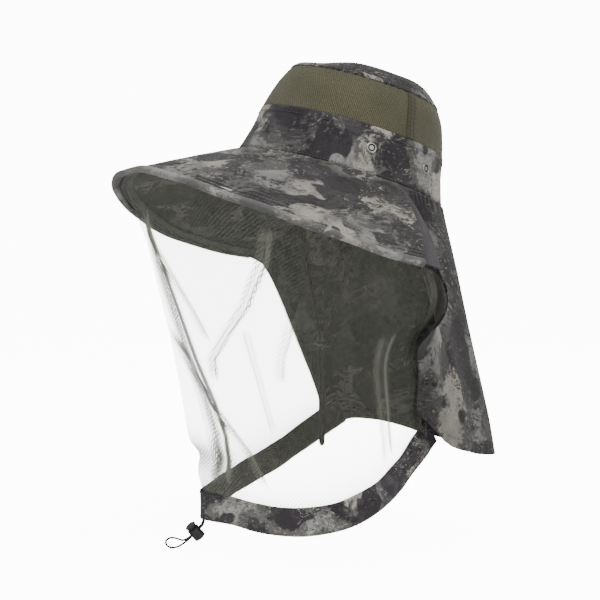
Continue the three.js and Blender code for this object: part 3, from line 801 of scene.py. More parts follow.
def weave_group():
    """Plain weave: threads pass over and under each other. Vector is a cloth UV in metres."""
    t, given, out = node_group(
        "thread_weave", [("Vector", VECTOR, None), ("Threads per Metre", FLOAT, 1700.0)],
        [("Height", FLOAT), ("Tone", FLOAT)])
    slub = t.noise(given["Vector"], 260.0, 3.0, 0.6)
    x, y = (t.math("SINE", way)
            for way in t.cells(given["Vector"], given["Threads per Metre"], math.pi))
    over = t.between(t.times(x, y), -0.3, 0.3)
    raised = t.math("ADD", t.times(t.math("ABSOLUTE", x), over),
                    t.times(t.math("ABSOLUTE", y), t.math("SUBTRACT", 1.0, over)))
    height = t.plus(raised, slub, 0.8)
    t.put(out.inputs["Height"], height)
    # Tone follows the height: random tone from the slub, and painted shade in the dips between
    # threads.
    t.put(out.inputs["Tone"], t.plus(0.86, height, 0.12))


def knit_group():
    """Knitted mesh: staggered rows of small round cells between thicker yarns."""
    t, given, out = node_group(
        "knitted_cells", [("Vector", VECTOR, None), ("Cells per Metre", FLOAT, 480.0)],
        [("Hole", FLOAT), ("Height", FLOAT), ("Tone", FLOAT)])
    x, y = t.cells(given["Vector"], given["Cells per Metre"], 2 * math.pi)
    stagger = t.times(t.math("COSINE", x), t.math("COSINE", t.times(y, 0.58)))
    hole = t.between(stagger, 0.05, 0.55)
    yarn = t.noise(t.vector("MULTIPLY", given["Vector"], (1.0, 0.4, 1.0)), 900.0, 3.0, 0.7)
    faded = t.noise(given["Vector"], 24.0, 2.0, 0.5)
    t.put(out.inputs["Hole"], hole)
    t.put(out.inputs["Height"], t.math("SUBTRACT", t.times(yarn, 0.5), hole))
    t.put(out.inputs["Tone"], t.math("ADD", t.times(yarn, 1.3), t.times(faded, 0.8)))


def net_group():
    """Fine net: two sets of slanting threads, with a coarser cross ribbing."""
    t, given, out = node_group(
        "net_threads", [("Vector", VECTOR, None), ("Threads per Metre", FLOAT, 640.0)],
        [("Thread", FLOAT), ("Rib", FLOAT)])
    parts = t.add("ShaderNodeSeparateXYZ", {0: given["Vector"]})
    sway = t.times(t.math("SUBTRACT", t.noise(given["Vector"], 40.0, 2.0), 0.5), 0.0035)

    def lines(slant, per_metre, width):
        across, up = (t.times(parts.outputs[k], slant[k]) for k in (0, 1))
        run = t.math("ADD", t.math("ADD", across, up), sway)
        wave = t.math("COSINE", t.times(run, per_metre, 2 * math.pi))
        return t.between(wave, 1 - 2 * width, 1.0)

    left, right = (lines((0.87, lean), given["Threads per Metre"], 0.42) for lean in (0.5, -0.5))
    t.put(out.inputs["Thread"], t.math("MAXIMUM", left, right))
    t.put(out.inputs["Rib"], lines((0.62, 0.78), 400.0, 0.5))


def braid_group():
    """Braided cord: strands that cross in a herringbone. Vector is a cord UV in metres."""
    t, given, out = node_group(
        "braided_strands", [("Vector", VECTOR, None), ("Strands per Metre", FLOAT, 900.0)],
        [("Height", FLOAT), ("Tone", FLOAT)])
    x, y = t.cells(given["Vector"], given["Strands per Metre"], math.pi)
    left, right = (t.math("ABSOLUTE", t.math("SINE", t.math(way, x, y)))
                   for way in ("ADD", "SUBTRACT"))
    height = t.math("MAXIMUM", left, right)
    fibre = t.noise(given["Vector"], 2600.0, 2.0, 0.7)
    t.put(out.inputs["Height"], t.plus(height, fibre, 0.4))
    # Tone follows the height: painted shade in the grooves between strands.
    t.put(out.inputs["Tone"], t.plus(0.55, height, 0.5))


def grain_group():
    """Fine surface grain with slow wear: for moulded plastic, pressed metal and board."""
    t, given, out = node_group(
        "surface_grain", [("Vector", VECTOR, None), ("Grain per Metre", FLOAT, 2500.0)],
        [("Height", FLOAT), ("Tone", FLOAT), ("Wear", FLOAT)])
    grain = t.noise(given["Vector"], given["Grain per Metre"], 3.0, 0.6)
    slow = t.noise(given["Vector"], 170.0, 3.0, 0.6)
    t.put(out.inputs["Height"], grain)
    t.put(out.inputs["Tone"], t.plus(0.8, slow, 0.4))
    t.put(out.inputs["Wear"], t.between(slow, 0.5, 0.72))


# ---- sizes and colours a user would change ------------------------------------------------
def colour_property(name, description, default):
    return bpy.props.FloatVectorProperty(
        name=name, description=description, default=default, size=3, min=0, max=1,
        subtype="COLOR")


def number_property(name, description, default, low, **kind):
    return bpy.props.FloatProperty(
        name=name, description=description, default=default, min=low, **kind)


LENGTH = {"unit": "LENGTH", "subtype": "DISTANCE"}


class VeilColours(bpy.types.PropertyGroup):
    """Cloth, net, cord and metal colours."""

    charcoal: colour_property("Charcoal", "Dark patches of the print", (0.022, 0.019, 0.023))
    mid_grey: colour_property("Mid grey", "Middle patches of the print", (0.078, 0.076, 0.072))
    pale_grey: colour_property("Pale grey", "Pale patches of the print", (0.205, 0.202, 0.192))
    sand: colour_property("Sand", "Lightest patches of the print", (0.340, 0.315, 0.275))
    shadow: colour_property("Shadow", "Dark streaks of the print", (0.009, 0.009, 0.008))
    olive: colour_property("Olive", "Knitted mesh of the crown", (0.070, 0.066, 0.036))
    lining: colour_property("Lining", "Ground of the brim lining", (0.036, 0.036, 0.030))
    net: colour_property("Net", "Threads of the face net", (0.145, 0.15, 0.12))
    tape: colour_property("Tape", "Seam tapes and sweatband", (0.032, 0.033, 0.027))
    cord: colour_property("Cord", "Drawcord and chin cord", (0.018, 0.018, 0.016))
    plastic: colour_property("Plastic", "Cord lock and slider", (0.016, 0.016, 0.018))
    steel: colour_property("Steel", "Press studs and spring", (0.38, 0.38, 0.37))
    board: colour_property("Stiffener", "Stiffener in the brim", (0.62, 0.60, 0.54))


class VeilCloth(bpy.types.PropertyGroup):
    """Cloth and net settings."""

    threads: number_property("Threads per metre", "Threads in the woven cloth", 1700.0, 200)
    patch_scale: number_property(
        "Patch scale", "Patches of the print per metre, roughly", 19.0, 2)
    net_cover: number_property(
        "Net cover", "Share of the net that its threads cover", 0.38, 0, max=1, subtype="FACTOR")
    stitch_pitch: number_property(
        "Stitch pitch", "Length of one stitch and its gap", 0.0034, 0.001, **LENGTH)
    stitch_width: number_property(
        "Stitch thread", "Thickness of the sewing thread", 0.00054, 0.0001, **LENGTH)


class VeilStage(bpy.types.PropertyGroup):
    """Floor, lights and camera settings."""

    floor: colour_property("Floor", "Colour of the floor", (0.82, 0.82, 0.82))
    glow: number_property("Backdrop", "Brightness of the pale backdrop", 12.0, 0)
    key: number_property("Key light", "Power of the large top light", 46.0, 0, unit="POWER")
    fill: number_property("Fill light", "Power of the side lights", 12.0, 0, unit="POWER")
    sky: number_property("Room light", "Brightness of the light from all round", 0.62, 0)


def shade(name, factor=1.0):
    """One of the colours as RGBA, scaled."""
    colour = getattr(bpy.context.scene.veil_colours, name)
    return (*(min(1.0, c * factor) for c in colour), 1.0)


# ---- materials ------------------------------------------------------------------------------
GROUP_MAKERS = {
    "camouflage_print": camouflage_group, "thread_weave": weave_group,
    "knitted_cells": knit_group, "net_threads": net_group,
    "braided_strands": braid_group, "surface_grain": grain_group,
}
GROUPS = {}


def group(name):
    """A shader group of this file, built on first use."""
    if name not in GROUPS:
        GROUP_MAKERS[name]()
        GROUPS[name] = bpy.data.node_groups[name]
    return GROUPS[name]


def new_material(name, **sockets):
    """A material with one Principled shader, its constants set on the shader's own sockets."""
    material = bpy.data.materials.new(name)
    material.use_nodes = True
    shader = material.node_tree.nodes["Principled BSDF"]
    for key, value in sockets.items():
        shader.inputs[key.replace("_", " ").title().replace("Ior", "IOR")].default_value = value
    return material, Tree(material.node_tree), shader


def cloth_vector(tree):
    return tree.add("ShaderNodeUVMap", uv_map="cloth").outputs[0]


def object_vector(tree, place=(0, 0, 0), turn=(0, 0, 0), scale=(1, 1, 1)):
    coordinates = tree.add("ShaderNodeTexCoord").outputs["Object"]
    node = tree.add("ShaderNodeMapping", {
        "Vector": coordinates, "Location": place, "Rotation": turn, "Scale": scale})
    return node.outputs[0]


def toned(tree, colour, tone):
    """A colour, given as RGBA or as a socket, times a tone."""
    colour = colour[:3] if isinstance(colour, tuple) else colour
    return tree.vector("MULTIPLY", colour, tree.grey(tone))


def dress(tree, shader, colour, roughness, bump=None):
    """Wires a shader's colour, roughness and bump, the last as (height, strength, distance)."""
    tree.put(shader.inputs["Base Color"], colour)
    tree.put(shader.inputs["Roughness"], roughness)
    if bump:
        node = tree.add("ShaderNodeBump", dict(zip(("Height", "Strength", "Distance"), bump)))
        tree.put(shader.inputs["Normal"], node.outputs[0])


def woven(tree, share=1.0):
    threads = bpy.context.scene.veil_cloth.threads * share
    return tree.use("thread_weave", {"Vector": cloth_vector(tree), "Threads per Metre": threads})


def printed_cloth(name, place, turn, scale=(1, 1, 1), level=1.0, tint=("lining", 0.0), patch=1.0,
                  streaks=1.0, flecks=1.0, crease=0.0):
    """Woven cloth with the camouflage print. level dims the print; tint pulls it to a colour."""
    material, tree, shader = new_material(
        name, sheen_weight=0.12, sheen_roughness=0.45, sheen_tint=(0.9, 0.9, 0.85, 1),
        specular_ior_level=0.25)

    def ink(key):
        own, pull = np.array(shade(key, level)[:3]), np.array(shade(tint[0])[:3])
        return (*(own * (1 - tint[1]) + pull * tint[1]), 1.0)

    pattern = tree.use("camouflage_print", {
        "Vector": object_vector(tree, place, turn, scale),
        "Patch Scale": bpy.context.scene.veil_cloth.patch_scale * patch,
        "Streaks": streaks, "Flecks": flecks,
        **{label: ink(key) for label, key in INKS.items()}})
    weave = woven(tree)
    bump = (weave["Height"], 0.5, 0.0002)
    if crease:
        wrinkle = tree.noise(object_vector(tree), 55.0, 4.0, 0.6, 0.8)
        height = tree.math("ADD", tree.times(weave["Height"], 0.12), tree.times(wrinkle, crease))
        bump = (height, 0.6, 0.0016)
    # The weave's tone carries painted shade in the dips between threads.
    dress(tree, shader, toned(tree, pattern["Color"], weave["Tone"]),
          tree.plus(0.82, pattern["Ink"], 0.16), bump)
    return material


def plain_cloth(name, key, level=1.0, threads=1.0):
    """Woven tape or binding in one colour, with worn and shaded places."""
    material, tree, shader = new_material(
        name, sheen_weight=0.15, sheen_roughness=0.5, specular_ior_level=0.25)
    weave = woven(tree, threads)
    spots = tree.noise(object_vector(tree), 90.0, 4.0, 0.65)
    # The weave's tone carries painted shade in the dips between threads; the spots add random
    # tone.
    tone = tree.times(weave["Tone"], tree.plus(0.75, spots, 0.5))
    dress(tree, shader, toned(tree, shade(key, level), tone), tree.plus(0.8, spots, 0.18),
          (weave["Height"], 0.6, 0.00025))
    return material


def knitted_cloth(name):
    """Knitted mesh whose open cells are painted dark: painted shade of the crown's inside seen
    through them.
    """
    material, tree, shader = new_material(
        name, sheen_weight=0.1, sheen_roughness=0.5, specular_ior_level=0.3)
    knit = tree.use("knitted_cells", {"Vector": cloth_vector(tree)})
    body = toned(tree, shade("olive"), knit["Tone"])
    # The cells mix toward a dark olive: painted shade where the holes would show the unlit inside.
    colour = tree.mix(tree.times(knit["Hole"], 0.8), body, shade("olive", 0.22))
    dress(tree, shader, colour, tree.plus(0.75, knit["Hole"], 0.2),
          (knit["Height"], 0.8, 0.0005))
    return material


def net_cloth(name, cover=1.0, level=1.0):
    """Sheer net: its threads are solid and the rest is open, by Alpha."""
    material, tree, shader = new_material(name, specular_ior_level=0.3)
    net = tree.use("net_threads", {"Vector": cloth_vector(tree)})
    shaded = tree.noise(object_vector(tree), 30.0, 2.0, 0.5)
    crowding = tree.add("ShaderNodeUVMap", uv_map="crowding").outputs[0]
    crowding = tree.add("ShaderNodeSeparateXYZ", {0: crowding}).outputs[0]
    share = bpy.context.scene.veil_cloth.net_cover * cover
    spread = tree.math("ADD", tree.times(net["Thread"], 0.7 * share),
                       tree.times(net["Rib"], 0.55 * share))
    covered = tree.math("ADD", spread, 0.2 * share)
    close = tree.times(crowding, tree.plus(0.85 * share, net["Thread"], 0.4 * share))
    tree.put(shader.inputs["Alpha"], tree.math("ADD", covered, close, clamp=True))
    dress(tree, shader, toned(tree, shade("net", level), tree.plus(0.8, shaded, 0.4)),
          tree.plus(0.6, shaded, 0.2), (net["Thread"], 0.3, 0.0002))
    return material


def braided(name, per_metre):
    """Braided cord."""
    material, tree, shader = new_material(
        name, sheen_weight=0.1, sheen_roughness=0.4, specular_ior_level=0.35)
    braid = tree.use("braided_strands", {
        "Vector": cloth_vector(tree), "Strands per Metre": per_metre})
    roughness = tree.math("SUBTRACT", 0.9, tree.times(braid["Height"], 0.15))
    # The braid's tone is painted shade in the grooves between strands.
    dress(tree, shader, toned(tree, shade("cord"), braid["Tone"]), roughness,
          (braid["Height"], 0.7, 0.0002))
    return material


def hard_surface(name, key, roughness, metallic=0.0, grain=2500.0, bump=0.15):
    """Moulded plastic, pressed steel or board, rubbed a little smoother in places."""
    material, tree, shader = new_material(name, metallic=metallic)
    surface = tree.use("surface_grain", {
        "Vector": object_vector(tree), "Grain per Metre": grain})
    rubbed = tree.math("SUBTRACT", roughness, tree.times(surface["Wear"], 0.15))
    dress(tree, shader, toned(tree, shade(key), surface["Tone"]), rubbed,
          (surface["Height"], bump, 0.0002))
    return material


def thread(name, key, level):
    """Sewing thread, twisted."""
    material, tree, shader = new_material(name, specular_ior_level=0.4)
    twist = tree.noise(object_vector(tree), 1400.0, 2.0, 0.6)
    dress(tree, shader, toned(tree, shade(key, level), tree.plus(0.75, twist, 0.5)),
          tree.plus(0.5, twist, 0.3))
    return material


# Each print as place, turn, scale and its own values.
BRIM_CUT = ((0.17, 0.53, 0.28), (0.1, 0.15, 0.25), (1, 1, 1.5))
FLAP_CUT = ((0.74, 0.36, 0.61), (0.2, 0.4, 0.1))
FLAP_WORN = {"patch": 0.8, "streaks": 0.9, "flecks": 0.9}
PRINTS = {
    "crown_top_print": (((0.31, 0.12, 0.05), (0.3, 0.2, 0.5)), {"level": 0.85}),
    "crown_band_print": (((0.913, 0.402, 0.37), (0, 0, 0.35)),
                         {"patch": 0.85, "streaks": 0.35, "flecks": 0.5}),
    "brim_print": (BRIM_CUT, {"patch": 0.95, "streaks": 1.25, "flecks": 1.1, "level": 0.86}),
    "edge_print": (BRIM_CUT, {"patch": 0.95, "streaks": 0.5, "level": 1.1,
                              "tint": ("pale_grey", 0.3)}),
    "flap_print": (FLAP_CUT, {**FLAP_WORN, "level": 0.68}),
    "flap_inside": (FLAP_CUT, {**FLAP_WORN, "level": 0.38, "tint": ("lining", 0.22)}),
    "brim_lining": (((0.42, 0.21, 0.93), (0.3, 0.1, 0.2)),
                    {"level": 0.62, "tint": ("lining", 0.35), "streaks": 0.9, "crease": 0.7}),
    "band_print": (((0.27, 0.88, 0.21), (0.2, 0.3, 0.4)),
                   {"patch": 1.3, "streaks": 0.6, "level": 1.7}),
    "band_inside": (((0.57, 0.31, 0.76), (0.2, 0.3, 0.4)),
                    {"level": 0.5, "tint": ("lining", 0.5), "streaks": 0.5, "flecks": 0.5}),
}
# The other finishes as a maker, then what it is given after the name.
PLAINS = {
    "dark_tape": (plain_cloth, "tape", 1.3),
    "sweat_tape": (plain_cloth, "tape", 0.9, 0.6),
    # near-black plain cloth: painted shade for the brim's end folds and the crown's seam allowance
    "fold_tape": (plain_cloth, "charcoal", 1.3),
    "olive_knit": (knitted_cloth,),
    "olive_seam": (plain_cloth, "olive", 0.6, 0.5),
    "sheer_net": (net_cloth,),
    "net_hem": (net_cloth, 2.4, 0.9),
    "thin_braid": (braided, 1500.0),
    "round_braid": (braided, 1100.0),
    "moulded_plastic": (hard_surface, "plastic", 0.42),
    "pressed_steel": (hard_surface, "steel", 0.34, 1.0, 3500.0, 0.08),
    # near-black metal for the studs' wells: painted shade
    "dark_steel": (hard_surface, "tape", 0.5, 1.0, 2500.0, 0.3),
    "stiff_board": (hard_surface, "board", 0.85, 0.0, 900.0, 0.4),
    "grey_thread": (thread, "mid_grey", 0.9),
    "pale_thread": (thread, "pale_grey", 1.0),
    "dark_thread": (thread, "charcoal", 0.8),
    "olive_thread": (thread, "olive", 0.7),
}
FINISH = {}


def finish(name):
    """A finish of this object, made on first use and shared by its pieces."""
    if name not in FINISH and name in PRINTS:
        cut, values = PRINTS[name]
        FINISH[name] = printed_cloth(name, *cut, **values)
    elif name not in FINISH:
        maker, *values = PLAINS[name]
        FINISH[name] = maker(name, *values)
    return FINISH[name]


def sewn(name, rows, colour, slot):
    """A piece of the hat made of stitch rows."""
    settings = bpy.context.scene.veil_cloth
    made = stitches(name, rows, finish(colour), settings.stitch_pitch / MM,
                    settings.stitch_pitch / MM * STITCH_SHARE, settings.stitch_width / MM / 2)
    return settle(made, "hat", slot)


def sewn_cloth(name, shape, size, faces, finishes, slot, *nodes, wrap=False):
    """A cloth piece of the hat: its shape over (u, v), its (columns, rows), how far its back and
    its front stand from the middle, and its finishes."""
    made = cloth(name, grid_of(shape, *size, wrap), *faces, [finish(key) for key in finishes],
                 wrap)
    return settle(made, "hat", slot, *nodes)


# ---- hard pieces by hand tools ------------------------------------------------------------------
def added(name, primitive, **settings):
    """A new primitive, alone selected."""
    bpy.ops.object.select_all(action="DESELECT")
    primitive(**settings)
    made = bpy.context.active_object
    made.name = made.data.name = name
    return made


def cylinder(name, radius, low, high):
    """A cylinder along Z from a low to a high end, in edit mode."""
    made = added(name, bpy.ops.mesh.primitive_cylinder_add, vertices=48, radius=radius * MM,
                 depth=(high - low) * MM, location=(0, 0, (low + high) / 2 * MM))
    bpy.ops.object.transform_apply(location=True)
    bpy.ops.object.mode_set(mode="EDIT")
    return made


def select_alone(made):
    bpy.ops.object.select_all(action="DESELECT")
    made.select_set(True)
    bpy.context.view_layer.objects.active = made


def pick(made, keep, kind="faces"):
    """In edit mode, selects the faces or edges for which keep(element) is true."""
    mesh = bmesh.from_edit_mesh(made.data)
    bpy.ops.mesh.select_all(action="DESELECT")
    bpy.context.tool_settings.mesh_select_mode = (False, kind == "edges", kind == "faces")
    for element in getattr(mesh, kind):
        if keep(element):
            element.select_set(True)
    mesh.select_flush(True)
    bmesh.update_edit_mesh(made.data)


def facing(z, height):
    """Picks flat faces that look along z at a height in mm."""
    return lambda f: f.normal.z * z > 0.9 and abs(f.calc_center_median().z / MM - height) < 0.05


def inset(width):
    bpy.ops.mesh.inset(thickness=width * MM)


def raise_top(depth, inset_by=0.0):
    """Insets the selected face by some mm, then extrudes it along Z."""
    if inset_by:
        inset(inset_by)
    bpy.ops.mesh.extrude_region_move(TRANSFORM_OT_translate={"value": (0, 0, depth * MM)})


def shift_up(height):
    bpy.ops.transform.translate(value=(0, 0, height * MM))


def widen(share):
    bpy.ops.transform.resize(value=(share, share, 1), center_override=(0, 0, 0))


def modified(made, kind, **settings):
    """Adds a modifier and applies it."""
    bpy.context.view_layer.objects.active = made
    modifier = made.modifiers.new(kind.title(), kind)
    for key, value in settings.items():
        setattr(modifier, key, value)
    bpy.ops.object.modifier_apply(modifier=modifier.name)


def rounded(made, width, segments=3, angle=EDGE_ANGLE):
    """Leaves edit mode and rounds the edges sharper than an angle."""
    bpy.ops.object.mode_set(mode="OBJECT")
    modified(made, "BEVEL", width=width * MM, segments=segments, limit_method="ANGLE",
             angle_limit=math.radians(angle))


def carved(made, cutter):
    modified(made, "BOOLEAN", operation="DIFFERENCE", object=cutter, solver="EXACT")
    bpy.data.objects.remove(cutter)


def placed(made, matrix, surface):
    """Puts a piece at its place, leaves the place in its mesh, and gives it a finish."""
    made.matrix_world = matrix
    select_alone(made)
    bpy.ops.object.transform_apply(location=True, rotation=True, scale=True)
    bpy.ops.object.shade_smooth_by_angle(angle=math.radians(SMOOTH_ANGLE))
    made.data.materials.clear()
    made.data.materials.append(finish(surface))
    return made


def slot_box(low, high):
    """A cutter for the cord's way through the lock."""
    box = added("slot_cutter", bpy.ops.mesh.primitive_cube_add, size=1.0)
    box.scale = (CORD_SLOT[0] * MM, CORD_SLOT[1] * MM, (high - low) * MM)
    box.location = (0, 0, (low + high) / 2 * MM)
    bpy.context.view_layer.update()
    return box


def lock_matrix():
    return Matrix.Translation(Vector(LOCK_CENTRE) * MM) @ Matrix.Rotation(LOCK_TURN, 4, "X")


def declare_cord(points, count):
    """Works out the path, in metres at count points, of a limp cord that pieces ride on; nothing
    is made or declared from it.
    """
    path = Route(points).at(np.linspace(0, 1, count)) * MM


# ---- operators: one for each piece or group of like pieces -----------------------------------
class VEIL_OT_stage(bpy.types.Operator):
    """Makes the camera, the pale floor and the soft lights"""

    bl_idname = "veil.stage"
    bl_label = "Stage"

    def execute(self, context):
        settings = context.scene.veil_stage
        self.camera(context)
        self.floor(settings)
        self.room(context, settings)
        self.lights(settings)
        return {"FINISHED"}

    def camera(self, context):
        across, ahead = math.cos(CAMERA_TURN), math.sin(CAMERA_TURN)
        level = math.cos(CAMERA_TILT)
        back = Vector((ahead * level, -across * level, math.sin(CAMERA_TILT)))
        right = Vector((across, ahead, 0))
        up = right.cross(-back)
        data = bpy.data.cameras.new("camera")
        data.sensor_width = SENSOR_WIDTH
        data.lens = FOCAL_LENGTH / FRAME_WIDTH * SENSOR_WIDTH
        data.clip_start, data.clip_end = 0.05, 60
        camera = in_scene("camera", data)
        place = back * CAMERA_DISTANCE + right * CAMERA_ACROSS + up * CAMERA_ABOVE
        camera.matrix_world = Matrix.Translation(place) @ (
            Matrix((right, up, back)).transposed().to_4x4())
        context.scene.camera = camera

    def floor(self, settings):
        floor = added("floor", bpy.ops.mesh.primitive_circle_add, vertices=96,
                      radius=FLOOR_RADIUS, fill_type="NGON",
                      location=(0, 0, CAD_BOX[0].z - FLOOR_GAP))
        bpy.ops.object.transform_apply(location=True)
        material, tree, shader = new_material(
            "pale_floor", base_color=(*settings.floor, 1), emission_color=(1, 1, 1, 1))
        speck = tree.noise(object_vector(tree), 3.0, 2.0)
        tree.put(shader.inputs["Roughness"], tree.plus(0.7, speck, 0.1))
        seen = tree.add("ShaderNodeLightPath").outputs["Is Camera Ray"]
        tree.put(shader.inputs["Emission Strength"], tree.times(seen, settings.glow))
        floor.data.materials.append(material)

    def room(self, context, settings):
        """Even light from all round, and a pale backdrop that only the camera sees."""
        world = bpy.data.worlds.new("room")
        world.use_nodes = True
        context.scene.world = world
        room = Tree(world.node_tree)
        background = world.node_tree.nodes["Background"]
        background.inputs["Color"].default_value = (1, 1, 1, 1)
        seen = room.add("ShaderNodeLightPath").outputs["Is Camera Ray"]
        far = settings.glow + settings.sky * settings.floor[0]
        room.put(background.inputs["Strength"],
                 room.plus(settings.sky, seen, far - settings.sky))

    def lights(self, settings):
        aim = Vector((0, 0, -0.12))
        lights = (
            ("top_light", (0.9, -0.3, 1.9), 1.6, settings.key),
            ("front_light", (0.4, -2.1, 0.5), 1.3, settings.fill),
            ("side_light", (2.0, 0.9, 0.35), 1.3, settings.fill),
            ("rear_light", (-1.6, 1.3, 0.9), 1.3, settings.fill * 0.8),
        )
        for name, place, size, power in lights:
            lamp = bpy.data.lights.new(name, "AREA")
            lamp.size, lamp.energy = size, power
            made = in_scene(name, lamp)
            made.location = place
            made.rotation_euler = (aim - made.location).to_track_quat("-Z", "Y").to_euler()


class VEIL_OT_cords(bpy.types.Operator):
    """Makes the drawcord, its loop in front, and the chin cord with its tabs"""

    bl_idname = "veil.cords"
    bl_label = "Cords"

    def execute(self, context):
        loop = Route(DRAWCORD_LOOP).at(np.linspace(0, 1, 420))
        braid = tube("drawcord_loop_braid", loop, DRAWCORD_RADIUS, 20, finish("thin_braid"),
                     plaited(10, 3.2))
        settle(braid, "hat", "black_cord", "drawcord_loop")
        for side, start, end in (("left", 17, BAND_TO - 4), ("right", -17, BAND_FROM + 4)):
            line = band_point(np.linspace(start, end, 300), np.zeros(300), np.zeros(300))
            run = tube(f"drawcord_run_{side}", line, DRAWCORD_RADIUS, 12, finish("thin_braid"))
            settle(run, "hat", "black_cord", f"drawcord_in_band_{side}")
        chin = Route(CHIN_CORD).at(np.linspace(0, 1, 1500))
        braid = tube("chin_cord_braid", chin, CHIN_CORD_RADIUS, 24, finish("round_braid"),
                     plaited(12, 5.0))
        settle(braid, "hat", "black_cord", "chin_cord")
        for side, sign in SIDES:
            self.tab(side, sign)
        return {"FINISHED"}

    def tab(self, side, sign):
        """A folded tape loop that holds the cord's end, box-stitched to the sweatband."""
        def shape(u, v):
            bulge = 0.35 * np.sin(math.pi * v) + 0.25 * bell(v, 0, 0.12)
            return vec(sign * (79.6 + bulge), -8 + sign * lerp(-5, 5, u), lerp(-12, 3, v))

        sewn_cloth(f"chin_tab_cloth_{side}", shape, (24, 36), (-0.95, 0.95), ("dark_tape",),
                   "olive_tape", f"chin_tab_{side}")
        rows = []
        corners = ((0.15, 0.62), (0.85, 0.62), (0.85, 0.93), (0.15, 0.93), (0.15, 0.62))
        for (u0, v0), (u1, v1) in zip(corners, corners[1:]):
            t = np.linspace(0, 1, 12)
            for lift in (1.0, -1.0):
                rows.append(seam_row(shape, lerp(u0, u1, t), lerp(v0, v1, t), lift, 0.01))
        sewn(f"chin_tab_stitches_{side}", rows, "grey_thread", "olive_tape")


class VEIL_OT_cord_lock(bpy.types.Operator):
    bl_idname = "veil.cord_lock"
    bl_label = "Cord lock"

    def execute(self, context):
        barrel, plunger = self.barrel(), self.plunger()
        declare_cord(DRAWCORD_LOOP, 220)
        return {"FINISHED"}

    def barrel(self):
        """A deep cup with a hollowed foot, a groove round it and the cord's slot through it."""
        barrel = cylinder("cord_lock_shell", BARREL_RADIUS, BARREL_FOOT, BARREL_TOP)
        pick(barrel, facing(1, BARREL_TOP))
        raise_top(-BARREL_WELL, BARREL_WALL)
        pick(barrel, facing(-1, BARREL_FOOT))
        inset(1.6)
        shift_up(0.5)
        for height in (-0.4, 0.0, 0.4):
            bpy.ops.mesh.select_all(action="SELECT")
            bpy.ops.mesh.bisect(plane_co=(0, 0, (BARREL_GROOVE + height) * MM),
                                plane_no=(0, 0, 1))
        pick(barrel, lambda edge: all(
            abs(v.co.z / MM - BARREL_GROOVE) < 0.02 and v.co.xy.length / MM > BARREL_RADIUS - 0.2
            for v in edge.verts), "edges")
        widen(0.955)
        rounded(barrel, 0.3)
        carved(barrel, slot_box(*BARREL_SLOT))
        placed(barrel, lock_matrix(), "moulded_plastic")
        return settle(barrel, "cord_lock", "black_plastic", "cord_lock_barrel")

    def plunger(self):
        """A stem with a wider button on top, slotted for the cord."""
        plunger = cylinder("cord_lock_button", PLUNGER_RADIUS, PLUNGER_FOOT, PLUNGER_NECK)
        pick(plunger, facing(1, PLUNGER_NECK))
        raise_top(0)
        widen(PLUNGER_HEAD / PLUNGER_RADIUS)
        raise_top(1.3)
        raise_top(0.35)
        widen(0.88)
        inset(0.9)
        shift_up(0.12)
        rounded(plunger, 0.2)
        carved(plunger, slot_box(*PLUNGER_SLOT))
        placed(plunger, lock_matrix(), "moulded_plastic")
        return settle(plunger, "lock_plunger", "black_plastic", "cord_lock_plunger")


class VEIL_OT_chin_slider(bpy.types.Operator):
    bl_idname = "veil.chin_slider"
    bl_label = "Chin slider"

    def execute(self, context):
        slider = added("chin_slider_bar", bpy.ops.mesh.primitive_cube_add, size=1.0)
        slider.scale = Vector(SLIDER_SIZE) * MM
        bpy.ops.object.transform_apply(scale=True)
        bpy.ops.object.mode_set(mode="EDIT")
        upright = 0.8 * SLIDER_SIZE[2] * MM
        pick(slider, lambda e: abs(e.verts[0].co.z - e.verts[1].co.z) > upright, "edges")
        bpy.ops.mesh.bevel(offset=SLIDER_ROUND * MM, segments=12)
        rounded(slider, 0.7, 4, 50)
        for _, sign in SIDES:
            hole = added("hole_cutter", bpy.ops.mesh.primitive_cylinder_add, vertices=40,
                         radius=SLIDER_HOLE * MM, depth=12 * MM,
                         location=(sign * CHIN_STRAND * MM, 0, 0))
            carved(slider, hole)
        placed(slider, Matrix.Translation(Vector(SLIDER_CENTRE) * MM), "moulded_plastic")
        settle(slider, "slider", "black_plastic", "chin_slider")
        declare_cord(CHIN_CORD, 400)
        return {"FINISHED"}


